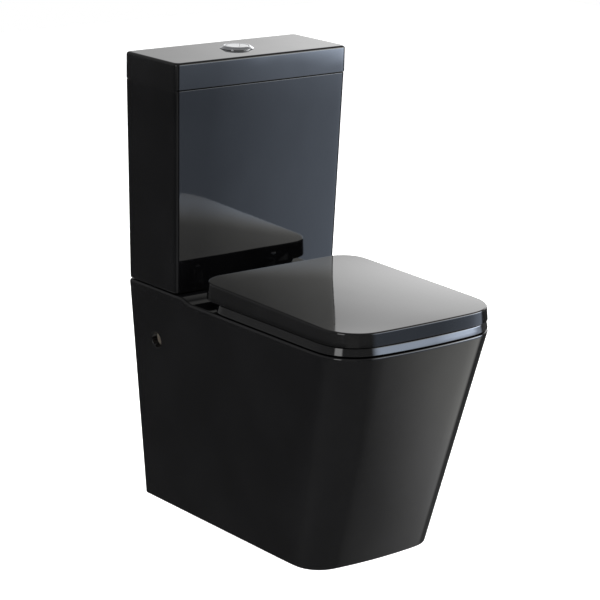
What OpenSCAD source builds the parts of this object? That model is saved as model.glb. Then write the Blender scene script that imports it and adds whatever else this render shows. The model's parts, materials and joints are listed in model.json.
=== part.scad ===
// Close coupled toilet, back to wall: pan, cistern, seat, flush button, flush valve and fill valve.
// Millimetres. +Z is up, the front faces -Y, and the back stands against a wall at +Y.
// Every module measures y from the wall, negative towards the front; placed() then moves the
// whole object so that its footprint is centred on the origin.

/* [Pan] */
// Depth from the wall to the front of the rim
pan_length = 620; // [560:5:700]
// Width across the rim
pan_width = 356; // [330:2:400]
// Width across the foot
foot_width = 281; // [240:1:310]
// How far the front of the foot stands back from the front of the rim
foot_setback = 116; // [60:2:150]
// Height of the rim, which the seat rests on
rim_height = 410; // [390:2:450]
// Height of the cistern shelf above the rim
shelf_rise = 7; // [2:1:12]
// Thickness of the ceramic walls
pan_wall = 12; // [9:1:14]
// Width of the opening in the back of the pan
back_opening = 188; // [170:1:200]
// Radius of the front corners at the rim
rim_corner = 75; // [50:1:90]
// Radius of the front corners at the foot
foot_corner = 52; // [40:1:80]
// How much the front edge bows forward
front_crown = 5; // [0:1:8]
// Radius of the service hole in each side
service_hole_r = 14; // [8:0.5:18]
// Height of the service holes
service_hole_height = 317; // [280:1:330]
// Height of the waste outlet's centre
outlet_height = 180; // [178:1:190]
// Outer radius of the waste spigot
spigot_r = 51; // [49:0.5:53]

/* [Cistern] */
// Height of the top of the cistern lid
total_height = 830; // [790:5:880]
// Width across the top of the cistern body
cistern_width = 373; // [350:1:390]
// Width across the cistern's base
cistern_base_width = 355; // [330:1:357]
// Depth at the top of the cistern body
cistern_depth = 154; // [148:1:170]
// Depth at the cistern's base
cistern_base_depth = 145; // [138:1:147]
// Thickness of the cistern walls
cistern_wall = 9; // [7:1:11]
// Height of the cistern lid
lid_height = 47.5; // [38:0.5:60]
// Distance between the two coupling bolts
coupling_spacing = 190; // [184:1:200]
// Distance of the flush valve and button from the wall
valve_setback = 75; // [72:1:78]
// Sideways distance of the fill valve from the middle
fill_offset = 136; // [134:1:140]

/* [Seat] */
// Width across the seat cover
cover_width = 346; // [320:2:352]
// Thickness of the seat cover at its back
cover_back_height = 31; // [29:0.5:34]
// Thickness of the seat cover at its front
cover_front_height = 23.5; // [20:0.5:28]
// Distance of the cover's back edge from the wall
cover_setback = 196; // [184:1:202]
// Thickness of the seat ring
ring_height = 14; // [12:0.5:18]
// Gap under the seat ring, filled by its buffers
ring_gap = 2.5; // [2:0.5:4]
// Distance between the two hinge posts
hinge_spacing = 164; // [140:1:180]
// Radius of the hinge pins
hinge_pin_r = 4; // [3:0.25:5]

/* [Flush button] */
// Outer radius of the chrome bezel
bezel_r = 30.5; // [27:0.5:34]
// Radius of the pair of buttons
button_r = 20.6; // [20:0.1:22]
// Turn of the button's split, from straight front to back
button_turn = -38; // [-60:1:60]
// Distance of the split from the middle
split_offset = 5; // [4.5:0.5:6]
// Travel of each button
button_travel = 4; // [2:0.5:4.5]

/* [Valves] */
// Outer radius of the flush valve's threaded tail
flush_tail_r = 30; // [28:0.5:31]
// Radius of the overflow tube
overflow_r = 15; // [13:0.5:15.5]
// Outer radius of the fill valve's threaded tail
fill_tail_r = 10.4; // [9:0.1:11]
// How far the overflow's rim lies below the top of the cistern body
overflow_drop = 92; // [85:1:120]

/* [Hidden] */

// Smoothness of the exact round shapes, and of the meshed ones
$fn = 64;
mesh_fn = 24;
// Overshoot of a cutting shape past the face that it opens
over = 1;
// Clearance between pieces that turn or slide in each other, and between pieces that only pass
running = 0.06;
passing = 0.6;

// Heights
shelf_z = rim_height + shelf_rise;
cushion_t = 1.5;
cistern_z = shelf_z + cushion_t;
cistern_floor = 13;
floor_z = cistern_z + cistern_floor;
lid_gap = 0.8;
cistern_top = total_height - lid_height - lid_gap;
lid_z = total_height - lid_height;
overflow_height = cistern_top - overflow_drop - floor_z;
deck_t = 14;
deck_under = rim_height - deck_t;

// Seat heights
ring_z = rim_height + ring_gap;
ring_top = ring_z + ring_height;
cover_gap = 1;
cover_z = ring_top + cover_gap;
cover_top_back = cover_z + cover_back_height;
cover_top_front = cover_z + cover_front_height;

// Hinge: the axis lies behind the ring and under the back edge of the cover
hinge_y = -cover_setback - 22;
hinge_z = ring_top + 10.5;
hinge_barrel_r = 9;
post_w = 20;
lug_w = 20;
lug_gap = 1;
hinge_x = hinge_spacing / 2;

// Plumbing
valve_y = -valve_setback;
fill_x = -fill_offset;
bolt_x = coupling_spacing / 2;

// ---------------------------------------------------------------- outlines and lofts

function arc(c, r, from, to, steps) =
    [for (i = [0:steps]) let (a = from + (to - from) * i / steps) [c[0] + r * cos(a), c[1] + r * sin(a)]];

// A plan with straight sides, round corners and a front edge that bows forward by crown.
// The points run anticlockwise from the back right corner.
function plan(half, back, front, r_back, r_front, crown) =
    let (c = half - r_front, corner_y = front + crown + r_front)
    concat(
        arc([half - r_back, back - r_back], r_back, 0, 90, 4),
        arc([r_back - half, back - r_back], r_back, 90, 180, 4),
        arc([r_front - half, corner_y], r_front, 180, 270, 9),
        [for (i = [1:7]) let (x = -c + 2 * c * i / 8) [x, front + crown * pow(x / c, 2)]],
        arc([half - r_front, corner_y], r_front, 270, 360, 9));

// A superellipse that reaches half to each side and from back to front
function oval(half, back, front, squareness) =
    let (mid = (back + front) / 2, reach = (back - front) / 2, e = 2 / squareness)
    [for (i = [0:35]) let (a = i * 10, c = cos(a), s = sin(a))
        [half * sign(c) * pow(abs(c), e), mid + reach * sign(s) * pow(abs(s), e)]];

// A solid through outlines at rising heights: sections is [[z, outline], ...]
module loft(sections) {
    n = len(sections[0][1]);
    m = len(sections);
    points = [for (s = sections) for (p = s[1]) [p[0], p[1], s[0]]];
    sides = [for (k = [0:m - 2]) for (i = [0:n - 1])
        let (a = k * n + i, b = k * n + (i + 1) % n) each [[a, a + n, b + n], [a, b + n, b]]];
    polyhedron(points, concat([[for (i = [0:n - 1]) i]], [[for (i = [n - 1:-1:0]) (m - 1) * n + i]], sides));
}

// A tube's solid along a path in the middle plane: path is [[y, z, radius], ...]
module pipe(path) {
    m = len(path);
    points = [for (i = [0:m - 1])
        let (p = path[max(i - 1, 0)], q = path[min(i + 1, m - 1)],
            d = [q[0] - p[0], q[1] - p[1]], t = d / norm(d))
        for (j = [0:mesh_fn - 1]) let (a = j * 360 / mesh_fn, r = path[i][2])
            [r * cos(a), path[i][0] - t[1] * r * sin(a), path[i][1] + t[0] * r * sin(a)]];
    sides = [for (k = [0:m - 2]) for (i = [0:mesh_fn - 1])
        let (a = k * mesh_fn + i, b = k * mesh_fn + (i + 1) % mesh_fn)
        each [[a, b, b + mesh_fn], [a, b + mesh_fn, a + mesh_fn]]];
    polyhedron(points, concat([[for (i = [mesh_fn - 1:-1:0]) i]],
        [[for (i = [0:mesh_fn - 1]) (m - 1) * mesh_fn + i]], sides));
}

module ring(outer, inner, h) {
    difference() {
        cylinder(r = outer, h = h);
        translate([0, 0, -over]) cylinder(r = inner, h = h + 2 * over);
    }
}

module bar(x0, x1, y0, y1, z0, z1) {
    translate([x0, y0, z0]) cube([x1 - x0, y1 - y0, z1 - z0]);
}

// A compression spring of round wire, standing on z = 0
module coil(radius, wire_r, h, turns) {
    sides = 6;
    steps = 12 * turns;
    points = [for (i = [0:steps]) let (a = i * 30, z = wire_r + (h - 2 * wire_r) * i / steps)
        for (j = [0:sides - 1]) let (b = j * 360 / sides, r = radius + wire_r * cos(b))
            [r * cos(a), r * sin(a), z + wire_r * sin(b)]];
    walls = [for (k = [0:steps - 1]) for (i = [0:sides - 1])
        let (a = k * sides + i, b = k * sides + (i + 1) % sides)
        each [[a, b, b + sides], [a, b + sides, a + sides]]];
    polyhedron(points, concat([[for (i = [sides - 1:-1:0]) i]],
        [[for (i = [0:sides - 1]) steps * sides + i]], walls));
}

module both_sides(x) {
    for (s = [-1, 1]) translate([s * x, 0, 0]) children();
}

// ---------------------------------------------------------------- pan

// The outside of the pan at a height: its sides and front lean out from foot to rim
function pan_plan(z, inset, back) =
    let (t = z / rim_height,
        half = (foot_width + (pan_width - foot_width) * t) / 2 - inset,
        front = -(pan_length - foot_setback + foot_setback * t) + inset,
        corner = foot_corner + (rim_corner - foot_corner) * t - inset)
    plan(half, back, front, 4, corner, front_crown);

ramp_back = -cistern_depth - 2;
ramp_length = 30;

// Everything above the seat deck, with a soft ramp up to the cistern shelf
module above_deck() {
    ramp = [for (i = [0:8]) [ramp_back - ramp_length + ramp_length * i / 8,
        rim_height + shelf_rise * (1 - cos(180 * i / 8)) / 2]];
    rotate([90, 0, 90]) translate([0, 0, -pan_width]) linear_extrude(2 * pan_width)
        polygon(concat([[-pan_length - 50, rim_height]], ramp,
            [[ramp_back, shelf_z + 20], [-pan_length - 50, shelf_z + 20]]));
}

bowl_back = -268;
bowl_half = pan_width / 2 - 46;
bowl_front = -pan_length + 42;
sump_y = -336;
trap_r = 34;
trap_wall = 10;

// Inside of the bowl, from the sump to above the rim; grow makes the outside of its wall
module bowl(grow, top) {
    h = rim_height;
    // [height, half width, back, front, squareness]
    levels = [
        [104 - grow, 26, sump_y + 28, sump_y - 26, 2.2],
        [120, 38, sump_y + 40, sump_y - 40, 2.2],
        [155, 50, sump_y + 46, sump_y - 58, 2.2],
        [0.48 * h, bowl_half - 68, bowl_back - 14, bowl_front + 138, 2.3],
        [0.60 * h, bowl_half - 40, bowl_back - 4, bowl_front + 78, 2.4],
        [0.73 * h, bowl_half - 15, bowl_back + 2, bowl_front + 30, 2.5],
        [0.87 * h, bowl_half - 2, bowl_back, bowl_front + 6, 2.6],
        [top, bowl_half, bowl_back, bowl_front, 2.6]];
    loft([for (l = levels) [l[0], oval(l[1] + grow, l[2] + grow, l[3] - grow, l[4])]]);
}

// The waste way: down from the sump, up over the weir and down to the outlet
module waste_way(grow, end_r) {
    o = outlet_height;
    line = [[sump_y + 2, 141], [-300, 140], [-274, 146], [-254, 168], [-238, 200], [-222, 231],
        [-202, 252], [-180, 258], [-160, 248], [-144, o + 46], [-128, o + 23], [-108, o + 7], [-88, o], [-70, o]];
    last = len(line) - 1;
    pipe([for (i = [0:last]) let (t = max(0, (i - last + 3) / 3))
        [line[i][0], line[i][1], (trap_r + grow) * (1 - t) + end_r * t]]);
}

spigot_start = -78;
spigot_end = -28;
spigot_bore = spigot_r - 12;
inlet_recess_r = 54;
inlet_recess_depth = 24;
chamber_half = 66;
inlet_r = 33;
duct_half = 29;
duct_z = 0.855 * rim_height;
duct_h = 32;
hinge_hole_r = 8;
bolt_hole_r = 6.5;
service_hole_y = -73;

module pan_body() {
    difference() {
        loft([[0, pan_plan(0, 0, 0)], [shelf_z, pan_plan(shelf_z, 0, 0)]]);
        loft([[-over, pan_plan(-over, pan_wall, -pan_wall)], [deck_under, pan_plan(deck_under, pan_wall, -pan_wall)]]);
        // the sides turn in at the back and leave an opening for the hands and the pipes
        bar(-back_opening / 2, back_opening / 2, -pan_wall - 1, 20, -over, deck_under);
        above_deck();
    }
}

// Walls of the flush inlet: the chamber below the shelf and the duct to the back of the bowl
module inlet_walls() {
    bar(-chamber_half, chamber_half, valve_y - chamber_half, valve_y + chamber_half,
        duct_z - pan_wall, deck_under);
    bar(-duct_half - pan_wall, duct_half + pan_wall, bowl_back, valve_y, duct_z - pan_wall, deck_under);
}

module inlet_way() {
    translate([0, valve_y, shelf_z - inlet_recess_depth]) cylinder(r = inlet_recess_r, h = 60);
    translate([0, valve_y, duct_z]) cylinder(r = inlet_r, h = shelf_z - duct_z);
    bar(-duct_half, duct_half, bowl_back - 14, valve_y, duct_z + 0.5, duct_z + duct_h);
}

// Notch in the shelf for the fill valve's tail, open to the back
notch_half = 24;
module fill_notch() {
    bar(fill_x - notch_half, fill_x + notch_half, valve_y - 30, 20, deck_under - over, shelf_z + over);
}

// The bowl's inside and its outside, both run on above the deck to cut it open
module bowl_space() { bowl(0, shelf_z + over); }
module bowl_block() { bowl(pan_wall - 1, shelf_z + over); }

// The casting is one piece of clay. Four nodes share it out, face to face: the skirt with its deck,
// the bowl, the trapway and the flush inlet.
module pan() {
    lean = atan((pan_width - foot_width) / 2 / rim_height);
    hole_x = (foot_width + (pan_width - foot_width) * service_hole_height / rim_height) / 2;
    color("#141415") difference() {
        pan_body();
        bowl_block();
        inlet_way();
        fill_notch();
        for (s = [-1, 1]) {
            translate([s * hinge_x, hinge_y, deck_under - over]) cylinder(r = hinge_hole_r, h = deck_t + 3);
            translate([s * bolt_x, valve_y, deck_under - over]) cylinder(r = bolt_hole_r, h = 40);
            // the service hole is square to the leaning side
            translate([s * hole_x, service_hole_y, service_hole_height]) rotate([0, s * (90 + lean), 0])
                translate([0, 0, -2 * pan_wall]) cylinder(r = service_hole_r, h = 4 * pan_wall);
        }
    }
}

module pan_bowl() {
    color("#141415") difference() {
        intersection() {
            bowl_block();
            bar(-pan_width, pan_width, -pan_length, 0, 0, rim_height);
        }
        bowl_space();
        waste_way(0, spigot_bore - 1.5);
        inlet_way();
    }
}

module pan_trapway() {
    color("#1b1b1c") difference() {
        union() {
            waste_way(trap_wall, spigot_r - 2);
            translate([0, spigot_start, outlet_height]) rotate([-90, 0, 0])
                cylinder(r = spigot_r, h = spigot_end - spigot_start);
        }
        bowl_block();
        waste_way(0, spigot_bore - 1.5);
        translate([0, spigot_start + 6, outlet_height]) rotate([-90, 0, 0]) cylinder(r = spigot_bore, h = 80);
    }
}

module pan_inlet() {
    color("#1b1b1c") difference() {
        inlet_walls();
        bowl_block();
        inlet_way();
    }
}

// ---------------------------------------------------------------- cistern

// Outside of the cistern body at a height, leaning out from base to top
function cistern_plan(z, inset) =
    let (t = (z - cistern_z) / (cistern_top - cistern_z),
        half = (cistern_base_width + (cistern_width - cistern_base_width) * t) / 2 - inset,
        front = -(cistern_base_depth + (cistern_depth - cistern_base_depth) * t) + inset,
        corner = max(9 - inset / 2, 3))
    plan(half, -inset, front, corner / 2, corner, 0.01);

flush_hole_r = flush_tail_r + 2;
fill_shank_r = fill_tail_r + 0.6;
fill_hole_r = fill_shank_r + 1;

module cistern() {
    color("#141416") difference() {
        loft([[cistern_z, cistern_plan(cistern_z, 0)], [cistern_top, cistern_plan(cistern_top, 0)]]);
        loft([[floor_z, cistern_plan(floor_z, cistern_wall)],
            [cistern_top + over, cistern_plan(cistern_top + over, cistern_wall)]]);
        translate([0, valve_y, cistern_z - over]) cylinder(r = flush_hole_r, h = cistern_floor + 2 * over);
        translate([fill_x, valve_y, cistern_z - over]) cylinder(r = fill_hole_r, h = cistern_floor + 2 * over);
        for (s = [-1, 1]) translate([s * bolt_x, valve_y, cistern_z - over])
            cylinder(r = bolt_hole_r, h = cistern_floor + 2 * over);
    }
}

lid_overhang = 0.8;
lid_top_t = 12;
lid_skirt_t = 10;
lip_drop = 8;
lip_t = 6;
button_hole_r = button_r + 3.9;
lid_half = cistern_width / 2 + lid_overhang;
lid_front = -cistern_depth - lid_overhang;

module cistern_lid() {
    lip_half = cistern_width / 2 - cistern_wall - passing;
    lip_front = -cistern_depth + cistern_wall + passing;
    lip_back = -cistern_wall - passing;
    color("#161617") difference() {
        union() {
            difference() {
                loft([[lid_z, plan(lid_half, 0, lid_front, 5, 9, 0.01)],
                    [total_height - 2, plan(lid_half, 0, lid_front, 5, 9, 0.01)],
                    [total_height, plan(lid_half - 2, -2, lid_front + 2, 4, 7, 0.01)]]);
                bar(-lid_half + lid_skirt_t, lid_half - lid_skirt_t, lid_front + lid_skirt_t, -lid_skirt_t,
                    lid_z - over, total_height - lid_top_t);
            }
            // four locating tabs that drop inside the cistern's walls
            for (s = [-1, 1]) {
                bar(s * lip_half - (s > 0 ? lip_t : 0), s * lip_half + (s > 0 ? 0 : lip_t),
                    valve_y - 20, valve_y + 20, lid_z - lip_drop, total_height - lid_top_t + over);
                bar(s * 110 - 15, s * 110 + 15, lip_front, lip_front + lip_t, lid_z - lip_drop,
                    total_height - lid_top_t + over);
                bar(s * 110 - 15, s * 110 + 15, lip_back - lip_t, lip_back, lid_z - lip_drop,
                    total_height - lid_top_t + over);
            }
        }
        translate([0, valve_y, total_height - lid_top_t - over])
            cylinder(r = button_hole_r, h = lid_top_t + 2 * over);
    }
}

// Two strips that keep the cistern off the shelf
module cistern_cushions() {
    color("#202020") for (s = [-1, 1])
        bar(s * 45 - 12 + s * 20, s * 45 + 12 + s * 20, valve_y - 58, valve_y - 52, shelf_z, cistern_z);
}

// ---------------------------------------------------------------- seat

ring_half = pan_width / 2 - 1.5;
ring_front = -pan_length + 1;
ring_back = hinge_y - 16;
ring_hole_half = bowl_half - 20;
lug_out = hinge_x + post_w / 2 + lug_gap;
lug_in = hinge_x - post_w / 2 - lug_gap;
bore_r = hinge_pin_r + running;
damper_r = hinge_barrel_r - 2;

// A cylinder along X round the hinge axis
module on_hinge_axis(x0, x1, r) {
    translate([x0, hinge_y, hinge_z]) rotate([0, 90, 0]) cylinder(r = r, h = x1 - x0);
}

module seat_ring() {
    color("#121213") difference() {
        union() {
            difference() {
                loft([[ring_z, plan(ring_half - 1, ring_back, ring_front + 1, 45, rim_corner - 2, front_crown)],
                    [ring_z + 2, plan(ring_half, ring_back, ring_front, 45, rim_corner - 1, front_crown)],
                    [ring_top - 3, plan(ring_half, ring_back, ring_front, 45, rim_corner - 1, front_crown)],
                    [ring_top, plan(ring_half - 3, ring_back - 3, ring_front + 3, 42, rim_corner - 4, front_crown)]]);
                loft([[ring_z - over, oval(ring_hole_half, ring_back - 50, -pan_length + 56, 2.3)],
                    [ring_top + over, oval(ring_hole_half, ring_back - 50, -pan_length + 56, 2.3)]]);
            }
            for (s = [-1, 1]) {
                on_hinge_axis(s > 0 ? lug_out : -lug_out - lug_w, s > 0 ? lug_out + lug_w : -lug_out, hinge_barrel_r);
                // web from the ring's back edge up to the barrel
                translate([s > 0 ? lug_out : -lug_out - lug_w, 0, 0]) rotate([90, 0, 90]) linear_extrude(lug_w)
                    polygon([[ring_back - 12, ring_z + 1], [ring_back + 1, ring_z + 1],
                        [hinge_y + 3, hinge_z - 7], [hinge_y - 8, hinge_z + 3], [ring_back - 12, ring_top - 2]]);
            }
        }
        for (s = [-1, 1]) {
            on_hinge_axis(s * (lug_out + lug_w / 2) - lug_w, s * (lug_out + lug_w / 2) + lug_w, bore_r);
            // socket for the damper, open at the outer end
            on_hinge_axis(s > 0 ? lug_out + 4 : -lug_out - lug_w - over, s > 0 ? lug_out + lug_w + over : -lug_out - 4,
                damper_r + 0.1);
        }
    }
}

buffer_r = 7;
module ring_buffers() {
    color("#2a2a2a") for (s = [-1, 1], y = [-300, -515])
        translate([s * (pan_width / 2 - 26), y, rim_height]) cylinder(r = buffer_r, h = ring_gap);
}

cover_half = cover_width / 2;
cover_front = -pan_length + 4;
cover_corner = 70;
cover_skin = 5;
cover_rim = 6;
cover_edge_r = 3;
wide = cover_width;

// The cover's top falls gently from back to front
module above_cover(drop) {
    rotate([90, 0, 90]) translate([0, 0, -wide]) linear_extrude(2 * wide)
        polygon([[0, cover_top_back - drop], [-cover_setback, cover_top_back - drop],
            [cover_front, cover_top_front - drop], [cover_front - 50, cover_top_front - drop],
            [cover_front - 50, cover_top_back + 40], [0, cover_top_back + 40]]);
}

module cover_solid(inset, z0) {
    difference() {
        loft([[z0, plan(cover_half - inset, -cover_setback - inset, cover_front + inset, 50 - inset, cover_corner - inset, 2)],
            [cover_top_back + 5, plan(cover_half - inset, -cover_setback - inset, cover_front + inset, 50 - inset, cover_corner - inset, 2)]]);
        above_cover(inset > 0 ? cover_skin : 0);
    }
}

cover_buffer_at = [[cover_half - 40, -330], [105, cover_front + 38]];

module seat_cover() {
    color("#0f0f10") difference() {
        union() {
            difference() {
                cover_solid(0, cover_z);
                cover_solid(cover_rim, cover_z - over);
            }
            // lugs under the skin, beside the hinge posts
            for (s = [-1, 1]) {
                x0 = s > 0 ? lug_in - lug_w : -lug_in;
                on_hinge_axis(x0, x0 + lug_w, hinge_barrel_r);
                bar(x0, x0 + lug_w, hinge_y - 7, -cover_setback - 2, hinge_z + 2, cover_top_back - 2);
            }
            // bosses that carry the cover's buffers
            intersection() {
                cover_solid(0, cover_z);
                for (s = [-1, 1], p = cover_buffer_at)
                    translate([s * p[0], p[1], cover_z + 1.5]) cylinder(r = buffer_r - 1, h = 60);
            }
        }
        for (s = [-1, 1]) {
            x0 = s > 0 ? lug_in - lug_w : -lug_in;
            on_hinge_axis(x0 - over, x0 + lug_w + over, bore_r);
            on_hinge_axis(s > 0 ? x0 - over : x0 + 4, s > 0 ? x0 + lug_w - 4 : x0 + lug_w + over, damper_r + 0.1);
            // room for the post and the ring's lug, open below and behind, under the skin
            bar(s > 0 ? lug_in + 0.4 : -lug_out - lug_w - 2, s > 0 ? lug_out + lug_w + 2 : -lug_in - 0.4,
                hinge_y - 14, -cover_setback + over, cover_z - over, cover_top_back - cover_skin);
        }
    }
}

module cover_buffers() {
    color("#2a2a2a") for (s = [-1, 1], p = cover_buffer_at)
        translate([s * p[0], p[1], ring_top + 0.1]) cylinder(r = buffer_r - 1, h = cover_z + 1.5 - ring_top - 0.1);
}

post_base_r = 14;
post_base_t = 3;
module hinge_post(s) {
    color("#d8dadc") difference() {
        union() {
            translate([s * hinge_x, hinge_y, rim_height]) cylinder(r = post_base_r, h = post_base_t);
            bar(s * hinge_x - post_w / 2, s * hinge_x + post_w / 2, hinge_y - 7, hinge_y + 7,
                rim_height + 1, hinge_z);
            on_hinge_axis(s * hinge_x - post_w / 2, s * hinge_x + post_w / 2, hinge_barrel_r);
        }
        on_hinge_axis(s * hinge_x - post_w, s * hinge_x + post_w, hinge_pin_r);
        translate([s * hinge_x, hinge_y, rim_height - over]) cylinder(r = 4, h = 11);
    }
}
module hinge_post_left() { hinge_post(-1); }
module hinge_post_right() { hinge_post(1); }

module hinge_pin(s) {
    reach = post_w / 2 + lug_gap + lug_w - 2;
    color("#b9bcc0") on_hinge_axis(s * hinge_x - reach, s * hinge_x + reach, hinge_pin_r);
}
module hinge_pin_left() { hinge_pin(-1); }
module hinge_pin_right() { hinge_pin(1); }

// Rotary dampers, one in each lug: a sleeve round the pin
module damper(x0) {
    difference() {
        on_hinge_axis(x0, x0 + lug_w - 5, damper_r);
        on_hinge_axis(x0 - over, x0 + lug_w, bore_r);
    }
}
module ring_dampers() {
    color("#6d7073") for (s = [-1, 1]) damper(s > 0 ? lug_out + 4.5 : -lug_out - lug_w + 0.5);
}
module cover_dampers() {
    color("#6d7073") for (s = [-1, 1]) damper(s > 0 ? lug_in - lug_w + 0.5 : -lug_in + 4.5);
}

stud_r = 4;
stud_bottom = deck_under - 26;
module hinge_studs() {
    color("#b9bcc0") both_sides(hinge_x) translate([0, hinge_y, stud_bottom])
        cylinder(r = stud_r, h = rim_height + 10 - stud_bottom);
}
// Rubber sleeves that swell against the underside of the deck as the stud is tightened
module hinge_sleeves() {
    color("#2b2b2c") both_sides(hinge_x) translate([0, hinge_y, 0]) difference() {
        union() {
            translate([0, 0, deck_under - 14]) cylinder(r = hinge_hole_r - 0.4, h = deck_t + 14);
            translate([0, 0, deck_under - 12]) cylinder(r = hinge_hole_r + 2.5, h = 11.8);
        }
        translate([0, 0, stud_bottom]) cylinder(r = stud_r, h = 80);
    }
}
module hinge_nuts() {
    color("#b9bcc0") both_sides(hinge_x) translate([0, hinge_y, deck_under - 20]) difference() {
        cylinder(r = 7.2, h = 6, $fn = 6);
        translate([0, 0, -over]) cylinder(r = stud_r, h = 10);
    }
}

// ---------------------------------------------------------------- flush button

bezel_rise = 5;
barrel_r = button_hole_r - 0.5;
barrel_bore = button_r + 0.6;
barrel_floor_z = total_height - 17;
barrel_floor_t = 3;
plate_z = total_height + bezel_rise - 4.2;
plate_t = 4;
// The levers turn on the valve's axis: the rods press one arm and the other arm lifts
push_arm = 9;
lift_arm = 23;
full_rod_at = [-0.388 * button_r, push_arm];
half_rod_at = [0.534 * button_r, push_arm];
rod_r = 2.4;
lever_z = floor_z + overflow_height + 20;
lever_t = 6;

// Children stand on the valve's axis, turned with the button's split
module on_valve_axis() {
    translate([0, valve_y, 0]) rotate([0, 0, button_turn]) children();
}

module button_bezel() {
    color("#e4e6e8") on_valve_axis() {
        rotate_extrude() polygon([[barrel_bore, total_height], [bezel_r, total_height],
            [bezel_r, total_height + 1], [bezel_r - 5.5, total_height + bezel_rise - 0.6],
            [bezel_r - 7.5, total_height + bezel_rise], [barrel_bore, total_height + bezel_rise]]);
        difference() {
            translate([0, 0, lid_z + 4]) cylinder(r = barrel_r, h = total_height - lid_z - 4 + 0.5);
            translate([0, 0, lid_z + 3]) cylinder(r = barrel_bore, h = barrel_floor_z - lid_z - 3);
            translate([0, 0, barrel_floor_z + barrel_floor_t]) cylinder(r = barrel_bore, h = 60);
            for (p = [full_rod_at, half_rod_at]) translate([p[0], p[1], barrel_floor_z - over])
                cylinder(r = rod_r + passing, h = barrel_floor_t + 2 * over);
        }
    }
}

gasket_t = 0.8;
module button_locknut() {
    color("#e9e9e6") on_valve_axis() translate([0, 0, total_height - lid_top_t - gasket_t - 9]) difference() {
        union() {
            cylinder(r = barrel_r + 6, h = 9, $fn = 12);
            translate([0, 0, 6]) cylinder(r = barrel_r + 8.5, h = 3);
        }
        translate([0, 0, -over]) cylinder(r = barrel_r + 0.15, h = 12);
    }
}
module bezel_gasket() {
    color("#2a2a2a") on_valve_axis() translate([0, 0, total_height - lid_top_t - gasket_t])
        ring(barrel_r + 8, barrel_r + 0.15, gasket_t);
}

// One side of the split round plate: side is -1 for the full flush, 1 for the half flush
module button_plate(side) {
    gap = 0.35;
    difference() {
        union() {
            translate([0, 0, plate_z]) cylinder(r = button_r, h = plate_t);
            translate([0, 0, plate_z - 4]) ring(button_r, button_r - 1.6, 4);
        }
        bar(side < 0 ? split_offset - gap : -40, side < 0 ? 40 : split_offset + gap, -40, 40,
            plate_z - 10, plate_z + plate_t + 10);
    }
}
module full_flush_button() { color("#dfe2e6") on_valve_axis() button_plate(-1); }
module half_flush_button() { color("#dfe2e6") on_valve_axis() button_plate(1); }

// A rod with a round tip under each button that presses on its lever
rod_gap = 0.5;
module push_rod(at) {
    tip_z = lever_z + lever_t / 2 + rod_gap + rod_r;
    color("#efefec") on_valve_axis() translate([at[0], at[1], tip_z]) {
        sphere(r = rod_r);
        cylinder(r = rod_r, h = plate_z - tip_z);
    }
}
module full_flush_rod() { push_rod(full_rod_at); }
module half_flush_rod() { push_rod(half_rod_at); }

module return_spring(at) {
    z = barrel_floor_z + barrel_floor_t;
    color("#c5c8cc") on_valve_axis() translate([at[0], at[1], z + 0.1]) coil(3.6, 0.4, plate_z - z - 0.2, 5);
}
module full_flush_spring() { return_spring(full_rod_at); }
module half_flush_spring() { return_spring(half_rod_at); }

// ---------------------------------------------------------------- flush valve

valve_gasket_t = 3;
base_z = floor_z + valve_gasket_t;
base_flange_r = flush_tail_r + 9;
base_flange_t = 4;
seat_z = base_z + base_flange_t + 6;
tail_bore = flush_tail_r - 6;
tail_bottom = cistern_z - 22;

module flush_valve_base() {
    color("#f0f0ee") on_valve_axis() {
        difference() {
            union() {
                translate([0, 0, tail_bottom]) cylinder(r = flush_tail_r, h = seat_z - tail_bottom);
                translate([0, 0, base_z]) cylinder(r = base_flange_r, h = base_flange_t);
            }
            translate([0, 0, tail_bottom - over]) cylinder(r = tail_bore, h = 80);
        }
        // spider across the tail that guides the foot of the overflow tube
        for (a = [0, 90]) rotate([0, 0, a])
            bar(-tail_bore - 0.5, tail_bore + 0.5, -1.2, 1.2, tail_bottom + 2, tail_bottom + 14);
    }
}
module flush_valve_gasket() {
    color("#2a2a2a") on_valve_axis() translate([0, 0, floor_z]) ring(flush_tail_r + 8.5, flush_tail_r + 0.3, valve_gasket_t);
}
backnut_t = 11;
module flush_valve_backnut() {
    color("#f0f0ee") on_valve_axis() translate([0, 0, cistern_z - backnut_t - 0.2]) difference() {
        cylinder(r = flush_tail_r + 9, h = backnut_t, $fn = 12);
        translate([0, 0, -over]) cylinder(r = flush_tail_r + 0.1, h = 20);
    }
}
// Foam rubber ring that seals the cistern to the pan
module doughnut_washer() {
    z0 = shelf_z - inlet_recess_depth;
    color("#2f2f30") on_valve_axis() translate([0, 0, z0])
        ring(inlet_recess_r - 1, flush_tail_r + 10, cistern_z - z0);
}

tower_r = flush_tail_r + 9;
tower_wall = 3;
tower_z = base_z + base_flange_t;
tower_top = floor_z + overflow_height - 50;
plate_h = 4;
pivot_pin_r = 1.5;
ear_t = 3;
ear_left = -23;
ear_right = 27;
lever_half = 3;
hook_y1 = -lift_arm - 1;
hook_y0 = hook_y1 - 3.5;
hook_gap = 0.6;
hook_z = lever_z + lever_t / 2 + hook_gap;
// The floats share the height inside the tower, and the upper one keeps room to rise
tower_reach = tower_top - seat_z;
full_float_z = seat_z + 0.13 * tower_reach;
full_float_h = 0.23 * tower_reach;
half_float_h = 0.13 * tower_reach;
half_float_z = tower_top - 13 - 0.21 * tower_reach;

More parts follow.
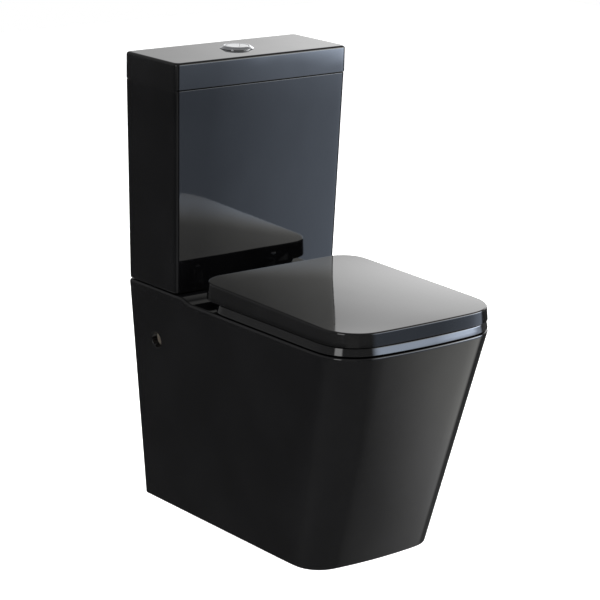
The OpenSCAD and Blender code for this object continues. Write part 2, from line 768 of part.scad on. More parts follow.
module flush_valve_tower() {
    color("#f0f0ee") on_valve_axis() difference() {
        union() {
            difference() {
                translate([0, 0, tower_z]) cylinder(r = tower_r, h = tower_top - tower_z);
                translate([0, 0, tower_z - over]) cylinder(r = tower_r - tower_wall, h = tower_top - tower_z + 3);
                // four tall windows
                for (a = [45, 135]) rotate([0, 0, a])
                    bar(-60, 60, -17, 17, tower_z + 9, tower_top - 40);
            }
            translate([0, 0, tower_top]) cylinder(r = tower_r, h = plate_h);
            for (x = [ear_left, ear_right])
                bar(x - ear_t / 2, x + ear_t / 2, -6, 6, tower_top + 1, lever_z + 6);
        }
        translate([0, 0, tower_top - over]) cylinder(r = overflow_r + passing, h = 3 * plate_h);
        bar(half_rod_at[0] - 5, half_rod_at[0] + 5, hook_y0 - 2, hook_y1 + 3, tower_top - over, tower_top + plate_h + over);
        translate([-50, 0, lever_z]) rotate([0, 90, 0]) cylinder(r = pivot_pin_r, h = 100);
    }
}
module lever_pin() {
    color("#b9bcc0") on_valve_axis() translate([ear_left - 3, 0, lever_z]) rotate([0, 90, 0])
        cylinder(r = pivot_pin_r, h = ear_right - ear_left + 6);
}

// A hook over a lever's lifting end, standing on a leg that starts at z0
module hook(x, z0) {
    bar(x - lever_half, x + lever_half, hook_y0, hook_y1, z0, hook_z + 3);
    bar(x - lever_half, x + lever_half, hook_y0, hook_y1 + 8, hook_z, hook_z + 3);
}

tube_top = floor_z + overflow_height;
module overflow_tube() {
    color("#dfe3e8") on_valve_axis() {
        translate([0, 0, tail_bottom + 16]) ring(overflow_r, overflow_r - 2.2, tube_top - tail_bottom - 16);
        // flange that holds the seal, and arm that carries the hook
        translate([0, 0, seat_z + 3.3]) ring(flush_tail_r - 1, overflow_r - 1, 4);
        difference() {
            bar(full_rod_at[0] - lever_half, full_rod_at[0] + lever_half, hook_y0, -10, tube_top - 8, tube_top - 2);
            translate([0, 0, tube_top - 20]) cylinder(r = overflow_r - 1, h = 30);
        }
        hook(full_rod_at[0], tube_top - 8);
    }
}
module flush_seal() {
    color("#b3462e") on_valve_axis() translate([0, 0, seat_z + 0.3])
        ring(flush_tail_r + 2, overflow_r, 3);
}
module full_flush_float() {
    color("#d6dade") on_valve_axis() translate([0, 0, full_float_z])
        ring(tower_r - tower_wall - 4, overflow_r, full_float_h);
}
module half_flush_float() {
    color("#8fb4d6") on_valve_axis() {
        translate([0, 0, half_float_z]) ring(tower_r - tower_wall - 3, overflow_r + passing, half_float_h);
        hook(half_rod_at[0], half_float_z + 0.77 * half_float_h);
    }
}

module rocker(x) {
    on_valve_axis() difference() {
        union() {
            bar(x - lever_half, x + lever_half, -lift_arm, push_arm + 3.5, lever_z - lever_t / 2, lever_z + lever_t / 2);
            translate([x - lever_half, 0, lever_z]) rotate([0, 90, 0]) cylinder(r = 4.5, h = 2 * lever_half);
        }
        translate([x - 20, 0, lever_z]) rotate([0, 90, 0]) cylinder(r = pivot_pin_r + running, h = 40);
    }
}
module full_flush_lever() { color("#8fb4d6") rocker(full_rod_at[0]); }
module half_flush_lever() { color("#f4f4f2") rocker(half_rod_at[0]); }

// ---------------------------------------------------------------- coupling

bolt_r = 4;
bolt_seal_t = 5;
wing_z = deck_under - 12;
module coupling_bolts() {
    color("#c9b26a") both_sides(bolt_x) translate([0, valve_y, 0]) {
        translate([0, 0, deck_under - 24]) cylinder(r = bolt_r, h = floor_z + bolt_seal_t + 2 - deck_under + 24);
        translate([0, 0, floor_z + bolt_seal_t]) cylinder(r = 10, h = 3);
    }
}
module coupling_seals() {
    color("#2a2a2a") both_sides(bolt_x) translate([0, valve_y, floor_z]) difference() {
        cylinder(r1 = 12, r2 = 10, h = bolt_seal_t);
        translate([0, 0, -over]) cylinder(r = bolt_r, h = 20);
    }
}
module coupling_washers() {
    color("#b9bcc0") both_sides(bolt_x) translate([0, valve_y, deck_under - 2]) ring(12, bolt_r, 2);
}
module coupling_wing_nuts() {
    color("#c9b26a") both_sides(bolt_x) translate([0, valve_y, wing_z]) difference() {
        union() {
            cylinder(r = 7.5, h = 10);
            for (s = [-1, 1]) bar(s * 11 - 6, s * 11 + 6, -1.5, 1.5, -5, 6);
        }
        translate([0, 0, -over]) cylinder(r = bolt_r, h = 20);
    }
}

// ---------------------------------------------------------------- fill valve

fill_seal_t = 2.5;
fill_tail_bottom = cistern_z - 40;
fill_flange_z = floor_z + fill_seal_t;
// The threaded shank passes the floor and its nut; below the nut it steps down to the inlet's tail
fill_nut_z = cistern_z - 10.2;
fill_tube_r = 9;
head_z = tube_top - 4;
head_r = 17;
head_h = 28;
float_r = 23;
float_h = 50;
float_z = head_z - 92;
arm_z = head_z + head_h + 12;
arm_t = 4;
arm_pivot = 13;
link_x = -20;
link_r = 1.5;
link_slot_out = 7.5;
link_slot_in = 2.5;
// With the cistern empty the float hangs this far below the height that shuts the valve
float_travel = 8;
arm_droop = float_travel / (arm_pivot - link_x) * 180 / PI;

module at_fill() {
    translate([fill_x, valve_y, 0]) children();
}

module fill_valve_body() {
    color("#f0f0ee") at_fill() difference() {
        union() {
            translate([0, 0, fill_tail_bottom]) cylinder(r = fill_tail_r, h = fill_nut_z - fill_tail_bottom + 1);
            translate([0, 0, fill_nut_z]) cylinder(r = fill_shank_r, h = fill_flange_z - fill_nut_z + 1);
            translate([0, 0, fill_flange_z]) cylinder(r = 17, h = 4);
            translate([0, 0, fill_flange_z]) cylinder(r = fill_tube_r, h = head_z - fill_flange_z);
        }
        translate([0, 0, fill_tail_bottom - over]) cylinder(r = 6, h = head_z - fill_tail_bottom + 2 * over);
    }
}
module fill_valve_seal() {
    color("#2a2a2a") at_fill() translate([0, 0, floor_z]) ring(16.5, fill_shank_r, fill_seal_t);
}
module fill_valve_backnut() {
    color("#f0f0ee") at_fill() translate([0, 0, fill_nut_z]) difference() {
        union() {
            cylinder(r = 16, h = 10, $fn = 6);
            translate([0, 0, 8]) cylinder(r = 17, h = 2);
        }
        translate([0, 0, -over]) cylinder(r = fill_shank_r, h = 20);
    }
}
// The outlet stub on the head's front, and the silencer tube's elbow that meets its flat end
outlet_end = 21;
outlet_low = 3;
outlet_size = 9;
outlet_wall = 1.2;
seat_wall_r = 8;
groove_r = 11;
diaphragm_floor = 12;
module fill_valve_head() {
    color("#2f6fae") at_fill() {
        difference() {
            union() {
                translate([0, 0, head_z]) cylinder(r = head_r, h = head_h);
                rotate([0, 0, -90]) bar(groove_r, outlet_end, -outlet_size / 2, outlet_size / 2,
                    head_z + outlet_low, head_z + outlet_low + outlet_size);
            }
            translate([0, 0, head_z + diaphragm_floor]) cylinder(r = 13, h = 8);
            translate([0, 0, head_z - over]) cylinder(r = 6, h = 14);
            // groove round the valve's seat, and the way out of it
            translate([0, 0, head_z + outlet_low + outlet_wall])
                ring(groove_r, seat_wall_r, diaphragm_floor - outlet_low - outlet_wall + over / 2);
            rotate([0, 0, -90]) bar(seat_wall_r + 1.5, outlet_end + over,
                -outlet_size / 2 + outlet_wall, outlet_size / 2 - outlet_wall,
                head_z + outlet_low + outlet_wall, head_z + outlet_low + outlet_size - outlet_wall);
        }
        // ears that carry the arm's pin
        for (s = [-1, 1]) difference() {
            bar(arm_pivot - 4, arm_pivot + 3.5, s * 6.5 - 1.5, s * 6.5 + 1.5, head_z + head_h, arm_z + 4);
            translate([arm_pivot, 20, arm_z]) rotate([90, 0, 0]) cylinder(r = 1.5, h = 40);
        }
    }
}
module fill_diaphragm() {
    color("#2a2a2a") at_fill() translate([0, 0, head_z + diaphragm_floor + 1]) cylinder(r = 12.8, h = 3);
}
module inlet_filter() {
    color("#e8e8e4") at_fill() translate([0, 0, fill_tail_bottom + 1]) ring(5.9, 4.6, 22);
}
module fill_float() {
    color("#d6dade") at_fill() translate([0, 0, float_z - float_travel]) difference() {
        cylinder(r = float_r, h = float_h);
        translate([0, 0, -over]) cylinder(r = fill_tube_r + passing, h = float_h + 2 * over);
        translate([0, 0, -over]) ring(float_r - 2, fill_tube_r + 3, float_h - 3);
    }
}
module float_link() {
    foot_z = float_z + float_h - float_travel;
    collar_z = arm_z + 5.5 - float_travel;
    color("#efefec") at_fill() translate([link_x, 0, 0]) {
        translate([0, 0, foot_z]) cylinder(r = link_r, h = collar_z + 5 - foot_z);
        translate([0, 0, collar_z]) cylinder(r = 3.2, h = 4);
    }
}
module float_arm() {
    reach = arm_pivot - link_x;
    color("#f4f4f2") at_fill() translate([arm_pivot, 0, arm_z]) rotate([0, -arm_droop, 0]) difference() {
        union() {
            bar(-reach - link_slot_out - 4, 0, -4.5, 4.5, -arm_t / 2, arm_t / 2);
            translate([0, 4.5, 0]) rotate([90, 0, 0]) cylinder(r = 3.2, h = 9);
        }
        translate([0, 20, 0]) rotate([90, 0, 0]) cylinder(r = 1.5 + running, h = 40);
        // slot that the link passes through
        bar(-reach - link_slot_out, -reach + link_slot_in, -2.2, 2.2, -10, 10);
    }
}
module float_arm_pin() {
    color("#b9bcc0") at_fill() translate([arm_pivot, 9, arm_z]) rotate([90, 0, 0]) cylinder(r = 1.5, h = 18);
}
// Open tube that carries the filling water quietly down to the cistern floor
silencer_r = 4.5;
silencer_at = 30;
module silencer_tube() {
    tube_h = head_z + outlet_low - fill_flange_z - 8;
    inside = silencer_r - outlet_wall;
    color("#e4e6e4") at_fill() rotate([0, 0, -90]) translate([silencer_at, 0, fill_flange_z + 8]) {
        ring(silencer_r, inside, tube_h);
        translate([0, 0, tube_h]) difference() {
            bar(outlet_end - silencer_at, silencer_r, -outlet_size / 2, outlet_size / 2, 0, outlet_size);
            bar(outlet_end - silencer_at - over, inside, -inside, inside, outlet_wall, outlet_size - outlet_wall);
            translate([0, 0, -over]) cylinder(r = inside, h = 4);
        }
    }
}

// ---------------------------------------------------------------- nodes

module placed() {
    translate([0, pan_length / 2, 0]) children();
}

placed() pan();
placed() pan_bowl();
placed() pan_trapway();
placed() pan_inlet();
placed() cistern();
placed() cistern_lid();
placed() cistern_cushions();
placed() seat_ring();
placed() ring_buffers();
placed() seat_cover();
placed() cover_buffers();
placed() hinge_post_left();
placed() hinge_post_right();
placed() hinge_pin_left();
placed() hinge_pin_right();
placed() ring_dampers();
placed() cover_dampers();
placed() hinge_studs();
placed() hinge_sleeves();
placed() hinge_nuts();
placed() button_bezel();
placed() bezel_gasket();
placed() button_locknut();
placed() full_flush_button();
placed() half_flush_button();
placed() full_flush_rod();
placed() half_flush_rod();
placed() full_flush_spring();
placed() half_flush_spring();
placed() flush_valve_base();
placed() flush_valve_gasket();
placed() flush_valve_backnut();
placed() doughnut_washer();
placed() flush_valve_tower();
placed() overflow_tube();
placed() flush_seal();
placed() full_flush_float();
placed() half_flush_float();
placed() full_flush_lever();
placed() half_flush_lever();
placed() lever_pin();
placed() coupling_bolts();
placed() coupling_seals();
placed() coupling_washers();
placed() coupling_wing_nuts();
placed() fill_valve_body();
placed() fill_valve_head();
placed() fill_valve_seal();
placed() fill_valve_backnut();
placed() fill_diaphragm();
placed() inlet_filter();
placed() fill_float();
placed() float_link();
placed() float_arm();
placed() float_arm_pin();
placed() silencer_tube();
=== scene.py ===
# %% [markdown]
# # A close coupled toilet in black glaze
# A close coupled toilet is a pan with its cistern bolted straight on top. This notebook gives each
# piece its looks, around an engineering model that already says where each piece is and how it
# moves. Pieces that show get a smooth new mesh, and the small working parts keep their exact shape.

# %% Load the frame
import json
import math
import bmesh
import bpy
import numpy as np
from mathutils import Matrix, Vector


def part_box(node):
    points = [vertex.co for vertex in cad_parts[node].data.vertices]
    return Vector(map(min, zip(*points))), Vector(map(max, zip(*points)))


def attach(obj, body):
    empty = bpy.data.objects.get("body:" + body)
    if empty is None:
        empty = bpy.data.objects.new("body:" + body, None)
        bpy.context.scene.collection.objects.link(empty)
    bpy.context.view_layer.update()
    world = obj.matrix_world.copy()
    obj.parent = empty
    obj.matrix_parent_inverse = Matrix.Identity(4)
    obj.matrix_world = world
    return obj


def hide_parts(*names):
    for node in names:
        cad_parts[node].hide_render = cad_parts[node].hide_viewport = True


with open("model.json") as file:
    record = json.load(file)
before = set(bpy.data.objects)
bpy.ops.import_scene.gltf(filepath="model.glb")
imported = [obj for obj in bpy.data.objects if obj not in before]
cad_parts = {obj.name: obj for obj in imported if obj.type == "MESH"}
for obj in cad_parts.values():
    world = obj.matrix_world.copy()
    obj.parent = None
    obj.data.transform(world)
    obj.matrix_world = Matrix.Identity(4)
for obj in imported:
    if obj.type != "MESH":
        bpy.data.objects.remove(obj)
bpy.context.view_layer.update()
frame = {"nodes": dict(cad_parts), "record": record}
mm = 0.001

# %% [markdown]
# ## The camera
# A long lens from about four and a half metres keeps the upright edges of the cistern nearly
# parallel. The three angles say how far the camera turns, tips and rolls. A rotation matrix is
# built from them: its columns are the camera's right, its up and the way back from the view.

# %% Place the camera
CAMERA_PLACE = (-2.4951, -3.1178, 1.5261)
CAMERA_TURN = math.radians(38.324)
CAMERA_TIP = math.radians(15.490)
CAMERA_ROLL = math.radians(1.231)
ahead = Vector((math.sin(CAMERA_TURN) * math.cos(CAMERA_TIP),
                math.cos(CAMERA_TURN) * math.cos(CAMERA_TIP), -math.sin(CAMERA_TIP)))
level_right = Vector((math.cos(CAMERA_TURN), -math.sin(CAMERA_TURN), 0))
level_up = level_right.cross(ahead)
right = level_right * math.cos(CAMERA_ROLL) + level_up * math.sin(CAMERA_ROLL)
up = level_up * math.cos(CAMERA_ROLL) - level_right * math.sin(CAMERA_ROLL)
lens = bpy.data.cameras.new("studio_camera")
lens.lens = 142.4
lens.sensor_width = 36
lens.clip_end = 60
camera = bpy.data.objects.new("studio_camera", lens)
turn = Matrix((right, up, -ahead)).transposed().to_4x4()
camera.matrix_world = Matrix.Translation(CAMERA_PLACE) @ turn
bpy.context.scene.collection.objects.link(camera)
bpy.context.scene.camera = camera
print("camera distance", round(Vector(CAMERA_PLACE).length, 2), "m")

# %% [markdown]
# ## Small tools for node trees
# A procedural finish is a tree of nodes. These two helpers keep the later cells short: one adds
# a node and fills its sockets, and one starts a node group with named inputs and outputs. A group
# is like a function: it is built once and used in many materials with different values.

# %% Node helpers
def add_node(tree, kind, **values):
    node = tree.nodes.new(kind)
    for key, value in values.items():
        if hasattr(node, key):
            setattr(node, key, value)
        else:
            node.inputs[key.replace("_", " ")].default_value = value
    return node


def link(tree, source, target):
    tree.links.new(source, target)


def new_group(name, inputs, outputs):
    tree = bpy.data.node_groups.new(name, "ShaderNodeTree")
    for label, start in inputs.items():
        socket = tree.interface.new_socket(name=label, in_out="INPUT", socket_type="NodeSocketFloat")
        socket.default_value = start
    for label in outputs:
        tree.interface.new_socket(name=label, in_out="OUTPUT", socket_type="NodeSocketFloat")
    return tree, tree.nodes.new("NodeGroupInput"), tree.nodes.new("NodeGroupOutput")


def scaled_noise(tree, place, scale_from, detail, distortion=0.0):
    noise = add_node(tree, "ShaderNodeTexNoise", Detail=detail, Distortion=distortion)
    link(tree, place, noise.inputs["Vector"])
    link(tree, scale_from, noise.inputs["Scale"])
    return noise.outputs["Fac"]


def arithmetic(tree, operation, first, second):
    node = add_node(tree, "ShaderNodeMath", operation=operation)
    for socket, value in zip(node.inputs, (first, second)):
        if isinstance(value, (int, float)):
            socket.default_value = value
        else:
            link(tree, value, socket)
    return node.outputs[0]


def remap(tree, value, low, high, from_low=0.0, from_high=1.0, smooth=False):
    node = add_node(tree, "ShaderNodeMapRange", interpolation_type="SMOOTHSTEP" if smooth else "LINEAR")
    node.inputs["From Min"].default_value = from_low
    node.inputs["From Max"].default_value = from_high
    node.inputs["To Min"].default_value = low
    node.inputs["To Max"].default_value = high
    link(tree, value, node.inputs["Value"])
    return node.outputs["Result"]

# %% [markdown]
# ## Effects that several finishes share
# **Fired glaze** is poured glass: it lies in long shallow ripples and has a fine orange peel.
# **Handling marks** are soft smears and hairline scratches that only show in the gloss.
# **Moulded grain** is the faint mottle of injection moulded plastic and rubber.
# **Worn edges** finds the sharp outer edges, where plating and colour rub thin first.
# **Tool lines** are the fine parallel lines that turning and drawing leave in metal.
# Each puts out heights and masks only, so that the material itself decides what they change.

# %% Fired glaze group
glaze_group, inside, out = new_group("fired_glaze", {"Ripple": 9.0, "Peel": 420.0}, ["Height", "Pooling"])
place = add_node(glaze_group, "ShaderNodeTexCoord").outputs["Object"]
ripple = scaled_noise(glaze_group, place, inside.outputs["Ripple"], 1.0, 0.3)
peel = scaled_noise(glaze_group, place, inside.outputs["Peel"], 2.0)
fine = arithmetic(glaze_group, "MULTIPLY", peel, 0.012)
link(glaze_group, arithmetic(glaze_group, "ADD", ripple, fine), out.inputs["Height"])
link(glaze_group, remap(glaze_group, ripple, 0.0, 1.0, 0.35, 0.7), out.inputs["Pooling"])

# %% Handling marks group
marks_group, inside, out = new_group("handling_marks", {"Smears": 14.0, "Hairlines": 160.0},
                                     ["Smear", "Hairline"])
place = add_node(marks_group, "ShaderNodeTexCoord").outputs["Object"]
smear = scaled_noise(marks_group, place, inside.outputs["Smears"], 4.0, 1.2)
stretch = add_node(marks_group, "ShaderNodeMapping")
stretch.inputs["Scale"].default_value = (1.0, 0.07, 0.35)
stretch.inputs["Rotation"].default_value = (0.4, 0.2, 0.9)
link(marks_group, place, stretch.inputs["Vector"])
hair = scaled_noise(marks_group, stretch.outputs["Vector"], inside.outputs["Hairlines"], 3.0)
link(marks_group, remap(marks_group, smear, 0.0, 1.0, 0.38, 0.72), out.inputs["Smear"])
link(marks_group, remap(marks_group, hair, 0.0, 1.0, 0.66, 0.74), out.inputs["Hairline"])

# %% Moulded grain group
grain_group, inside, out = new_group("moulded_grain", {"Grain": 900.0, "Flow": 30.0}, ["Height", "Tint"])
place = add_node(grain_group, "ShaderNodeTexCoord").outputs["Object"]
speck = scaled_noise(grain_group, place, inside.outputs["Grain"], 2.0)
flow = scaled_noise(grain_group, place, inside.outputs["Flow"], 3.0, 0.8)
link(grain_group, speck, out.inputs["Height"])
link(grain_group, remap(grain_group, flow, 0.0, 1.0, 0.3, 0.7), out.inputs["Tint"])

# %% Worn edges group
edge_group, inside, out = new_group("worn_edges", {"Reach": 0.04, "Patches": 60.0}, ["Edge"])
place = add_node(edge_group, "ShaderNodeTexCoord").outputs["Object"]
sharpness = add_node(edge_group, "ShaderNodeNewGeometry").outputs["Pointiness"]
patches = scaled_noise(edge_group, place, inside.outputs["Patches"], 3.0)
ridge = arithmetic(edge_group, "DIVIDE", arithmetic(edge_group, "SUBTRACT", sharpness, 0.515),
                   inside.outputs["Reach"])
clear = add_node(edge_group, "ShaderNodeClamp")
link(edge_group, arithmetic(edge_group, "MULTIPLY", ridge, patches), clear.inputs["Value"])
link(edge_group, clear.outputs["Result"], out.inputs["Edge"])

# %% Tool lines group
lines_group, inside, out = new_group("tool_lines", {"Lines": 1400.0}, ["Height", "Tint"])
place = add_node(lines_group, "ShaderNodeTexCoord").outputs["Object"]
squeeze = add_node(lines_group, "ShaderNodeMapping")
squeeze.inputs["Scale"].default_value = (0.04, 0.04, 1.0)
link(lines_group, place, squeeze.inputs["Vector"])
drawn = scaled_noise(lines_group, squeeze.outputs["Vector"], inside.outputs["Lines"], 3.0)
link(lines_group, drawn, out.inputs["Height"])
link(lines_group, remap(lines_group, drawn, 0.0, 1.0, 0.3, 0.7), out.inputs["Tint"])
print("shared effects:", [group.name for group in bpy.data.node_groups])

# %% [markdown]
# ## From effects to finishes
# A finish is one Principled shader. Its metalness is a plain number, its colour and roughness
# move between two values by a mask, and its bump takes a height from one of the groups. The same
# recipe with different numbers gives glaze, plastic, chrome, brass or rubber.

# %% The finish recipe
def blend_colour(tree, mask, low, high):
    mix = add_node(tree, "ShaderNodeMix", data_type="RGBA")
    colour_inputs = [socket for socket in mix.inputs if socket.type == "RGBA"]
    colour_inputs[0].default_value = (*low, 1.0)
    colour_inputs[1].default_value = (*high, 1.0)
    link(tree, mask, mix.inputs["Factor"])
    return [socket for socket in mix.outputs if socket.type == "RGBA"][0]


def place_group(tree, group, **values):
    node = tree.nodes.new("ShaderNodeGroup")
    node.node_tree = group
    for label, value in values.items():
        node.inputs[label].default_value = value
    return node


def make_finish(name, low, high, rough, metal=0.0, relief=("fired_glaze", 1.0), depth=0.1, marks=14.0,
                wear=None, ior=1.5):
    finish = bpy.data.materials.new(name)
    finish.use_nodes = True
    tree = finish.node_tree
    shader = tree.nodes["Principled BSDF"]
    shader.inputs["Metallic"].default_value = metal
    shader.inputs["IOR"].default_value = ior
    surface = place_group(tree, bpy.data.node_groups[relief[0]], **relief[1])
    handling = place_group(tree, marks_group, Smears=marks)
    mask = surface.outputs[1]
    colour = blend_colour(tree, mask, low, high)
    if wear is not None:
        edges = place_group(tree, edge_group)
        worn = add_node(tree, "ShaderNodeMix", data_type="RGBA")
        pair = [socket for socket in worn.inputs if socket.type == "RGBA"]
        link(tree, colour, pair[0])
        pair[1].default_value = (*wear, 1.0)
        link(tree, edges.outputs["Edge"], worn.inputs["Factor"])
        colour = [socket for socket in worn.outputs if socket.type == "RGBA"][0]
    link(tree, colour, shader.inputs["Base Color"])
    dulled = arithmetic(tree, "MULTIPLY", handling.outputs["Hairline"], 0.25)
    both = arithmetic(tree, "ADD", handling.outputs["Smear"], dulled)
    link(tree, remap(tree, both, rough[0], rough[1]), shader.inputs["Roughness"])
    bump = add_node(tree, "ShaderNodeBump")
    bump.inputs["Strength"].default_value = depth
    bump.inputs["Distance"].default_value = mm
    link(tree, surface.outputs["Height"], bump.inputs["Height"])
    link(tree, bump.outputs["Normal"], shader.inputs["Normal"])
    finish.diffuse_color = (*high, 1.0)
    return finish

# %% [markdown]
# ## The finishes of this toilet
# Black glaze and the black seat look alike, but one is glass over clay and the other is a hard
# moulded plastic, so the seat has no ripple and picks up more hairlines. Bare clay shows where
# the kiln glaze doesn't reach: inside the hollow skirt. Chrome is on the button and the hinges.

# %% Make the finishes
GLAZE = {"Ripple": 9.0, "Peel": 420.0}
PLASTIC = {"Grain": 1100.0, "Flow": 26.0}
RUBBER = {"Grain": 1700.0, "Flow": 60.0}
finishes = {
    "black_glaze": make_finish("black_glaze", (0.0012, 0.0012, 0.0014), (0.0024, 0.0024, 0.0027),
                               (0.028, 0.06),
                               relief=("fired_glaze", GLAZE), depth=0.35, marks=11.0, ior=1.52),
    "black_seat": make_finish("black_seat", (0.0012, 0.0012, 0.0013), (0.0022, 0.0022, 0.0024), (0.03, 0.07),
                              relief=("moulded_grain", {"Grain": 260.0, "Flow": 12.0}), depth=0.012,
                              marks=17.0,
                              ior=1.5),
    "bare_clay": make_finish("bare_clay", (0.36, 0.33, 0.29), (0.47, 0.44, 0.40), (0.7, 0.95),
                             relief=("moulded_grain", {"Grain": 500.0, "Flow": 22.0}), depth=0.5, marks=20.0),
    "chrome_trim": make_finish("chrome_trim", (0.50, 0.51, 0.53), (0.60, 0.61, 0.63), (0.04, 0.14), 1.0,
                               relief=("moulded_grain", {"Grain": 600.0, "Flow": 40.0}), depth=0.01,
                               marks=55.0,
                               wear=(0.95, 0.95, 0.95)),
    "steel": make_finish("steel", (0.50, 0.50, 0.51), (0.66, 0.66, 0.67), (0.2, 0.42), 1.0,
                         relief=("tool_lines", {"Lines": 1400.0}), depth=0.12, marks=70.0,
                         wear=(0.78, 0.78, 0.78)),
    "brass": make_finish("brass", (0.62, 0.44, 0.19), (0.80, 0.62, 0.32), (0.2, 0.45), 1.0,
                         relief=("tool_lines", {"Lines": 1100.0}), depth=0.12, marks=70.0,
                         wear=(0.90, 0.74, 0.44)),
    "rubber": make_finish("rubber", (0.012, 0.012, 0.012), (0.03, 0.03, 0.03), (0.55, 0.8),
                          relief=("moulded_grain", RUBBER), depth=0.3, marks=40.0),
    "white_plastic": make_finish("white_plastic", (0.74, 0.74, 0.71), (0.84, 0.84, 0.82), (0.25, 0.45),
                                 relief=("moulded_grain", PLASTIC), depth=0.08, marks=35.0,
                                 wear=(0.9, 0.9, 0.88)),
    "blue_plastic": make_finish("blue_plastic", (0.05, 0.17, 0.38), (0.09, 0.27, 0.52), (0.25, 0.45),
                                relief=("moulded_grain", PLASTIC), depth=0.08, marks=35.0,
                                wear=(0.25, 0.42, 0.62)),
    "pale_plastic": make_finish("pale_plastic", (0.58, 0.62, 0.66), (0.70, 0.74, 0.78), (0.16, 0.34),
                                relief=("moulded_grain", PLASTIC), depth=0.06, marks=35.0),
    "grey_plastic": make_finish("grey_plastic", (0.16, 0.165, 0.17), (0.24, 0.245, 0.25), (0.3, 0.5),
                                relief=("moulded_grain", PLASTIC), depth=0.08, marks=35.0,
                                wear=(0.36, 0.36, 0.36)),
    "red_silicone": make_finish("red_silicone", (0.34, 0.045, 0.025), (0.47, 0.08, 0.045), (0.35, 0.55),
                                relief=("moulded_grain", RUBBER), depth=0.12, marks=40.0),
}
print("finishes:", ", ".join(finishes))

# %% [markdown]
# ## Finishes for the small working parts
# The record names a material slot for each CAD node. The nodes keep their exact shapes here:
# only the finish in their material slot changes.

# %% Dress the CAD nodes
slot_of = {part["node"]: part["material_slot"] for part in frame["record"]["subparts"]}
for node_name, cad_object in frame["nodes"].items():
    if not cad_object.material_slots:
        cad_object.data.materials.append(None)
    for material_slot in cad_object.material_slots:
        material_slot.material = finishes[slot_of[node_name]]
print("dressed", len(slot_of), "nodes")

# %% [markdown]
# ## Plans and skins
# Ceramic moulds are drawn as plans: an outline at each height. A plan here is only the right half
# of an outline, from the middle of the back to the middle of the front, because every piece
# is symmetric. Mirroring it gives a ring of points, and a stack of rings gives a skin. The front
# corners are eased, which lets the flat faces run into the corners with no sudden change of
# curve: a plain arc shows as a hard line in a glossy reflection.

# %% Plans
BACK_STEPS = 4
BACK_CORNER_STEPS = 8
SIDE_STEPS = 44
FRONT_CORNER_STEPS = 26
FRONT_STEPS = 14


def arc(centre, radius, start, end, steps):
    angles = np.radians(np.linspace(start, end, steps + 1))
    return np.column_stack((centre[0] + radius * np.cos(angles), centre[1] + radius * np.sin(angles)))


def stretch_between(first, last, steps):
    t = np.linspace(0.0, 1.0, steps + 1)[:, None]
    return np.asarray(first) * (1 - t) + np.asarray(last) * t


def half_plan(half, back, front, back_corner, front_corner, bow=0.0, ease=0):
    back_corner = max(back_corner, 0.2 * mm)
    corner_x = half - front_corner
    corner_y = front + bow + front_corner
    bow_x = np.linspace(corner_x, 0.0, FRONT_STEPS + 1)
    bow_y = front + bow * (bow_x / corner_x) ** 2
    points = np.vstack((
        stretch_between((0, back), (half - back_corner, back), BACK_STEPS)[:-1],
        arc((half - back_corner, back - back_corner), back_corner, 90, 0, BACK_CORNER_STEPS),
        stretch_between((half, back - back_corner), (half, corner_y), SIDE_STEPS)[1:-1],
        arc((corner_x, corner_y), front_corner, 0, -90, FRONT_CORNER_STEPS),
        np.column_stack((bow_x, bow_y))[1:]))
    first = BACK_STEPS + BACK_CORNER_STEPS + 4
    for _ in range(ease):
        mirror = points[-2] * (-1, 1)
        after = np.vstack((points[1:], mirror))
        middle = (points[first - 1:-1] + after[first:]) / 2
        points[first:] += 0.5 * (middle - points[first:])
        points[-1, 0] = 0.0
    return points


def half_oval(half, back, front, squareness, steps):
    angles = np.radians(np.linspace(90, -90, steps))
    power = 2.0 / squareness
    x = half * np.abs(np.cos(angles)) ** power
    y = (back + front) / 2 + (back - front) / 2 * np.sign(np.sin(angles)) * np.abs(np.sin(angles)) ** power
    x[0] = x[-1] = 0.0
    return np.column_stack((x, y))

# %% [markdown]
# A ring may be flat or follow a height that changes with depth. Skins are capped with a ladder:
# each point on the right is joined to its mirror on the left, so a cap can follow a ramp.

# %% Rings and skins
def ring_at(plan, height):
    heights = height(plan[:, 1]) if callable(height) else np.full(len(plan), float(height))
    solid = np.column_stack((plan, heights))
    mirror = solid[-2:0:-1] * (-1, 1, 1)
    return np.vstack((solid, mirror))


def mesh_object(name, points, faces, finish_names, face_finish=0):
    mesh = bpy.data.meshes.new(name)
    mesh.from_pydata([tuple(point) for point in points], [], faces)
    work = bmesh.new()
    work.from_mesh(mesh)
    bmesh.ops.remove_doubles(work, verts=work.verts, dist=1e-6)
    bmesh.ops.recalc_face_normals(work, faces=work.faces)
    for face in work.faces:
        face.material_index = face_finish
        face.smooth = True
    work.to_mesh(mesh)
    work.free()
    for finish_name in finish_names:
        mesh.materials.append(finishes[finish_name])
    piece = bpy.data.objects.new(name, mesh)
    bpy.context.scene.collection.objects.link(piece)
    return piece


def ladder(start, count, flip):
    half = count // 2
    faces = [(start, start + 1, start + count - 1)]
    faces += [(start + i, start + i + 1, start + count - i - 1, start + count - i) for i in range(1,
                                                                                                  half - 1)]
    faces.append((start + half - 1, start + half, start + half + 1))
    return [face[::-1] for face in faces] if flip else faces


def skin(name, rings, finish_names=("black_glaze",), face_finish=0):
    count = len(rings[0])
    points = np.vstack(rings)
    faces = ladder(0, count, True) + ladder((len(rings) - 1) * count, count, False)
    for level in range(len(rings) - 1):
        low, high = level * count, (level + 1) * count
        faces += [(low + i, low + (i + 1) % count, high + (i + 1) % count, high + i) for i in range(count)]
    return mesh_object(name, points, faces, finish_names, face_finish)

# %% [markdown]
# Round parts are turned from a profile, as on a lathe. The profile is a closed loop of distance
# from the axis and height along it. A second helper bends a pipe along a line of centres, which
# is how the waterway of the pan is drawn.

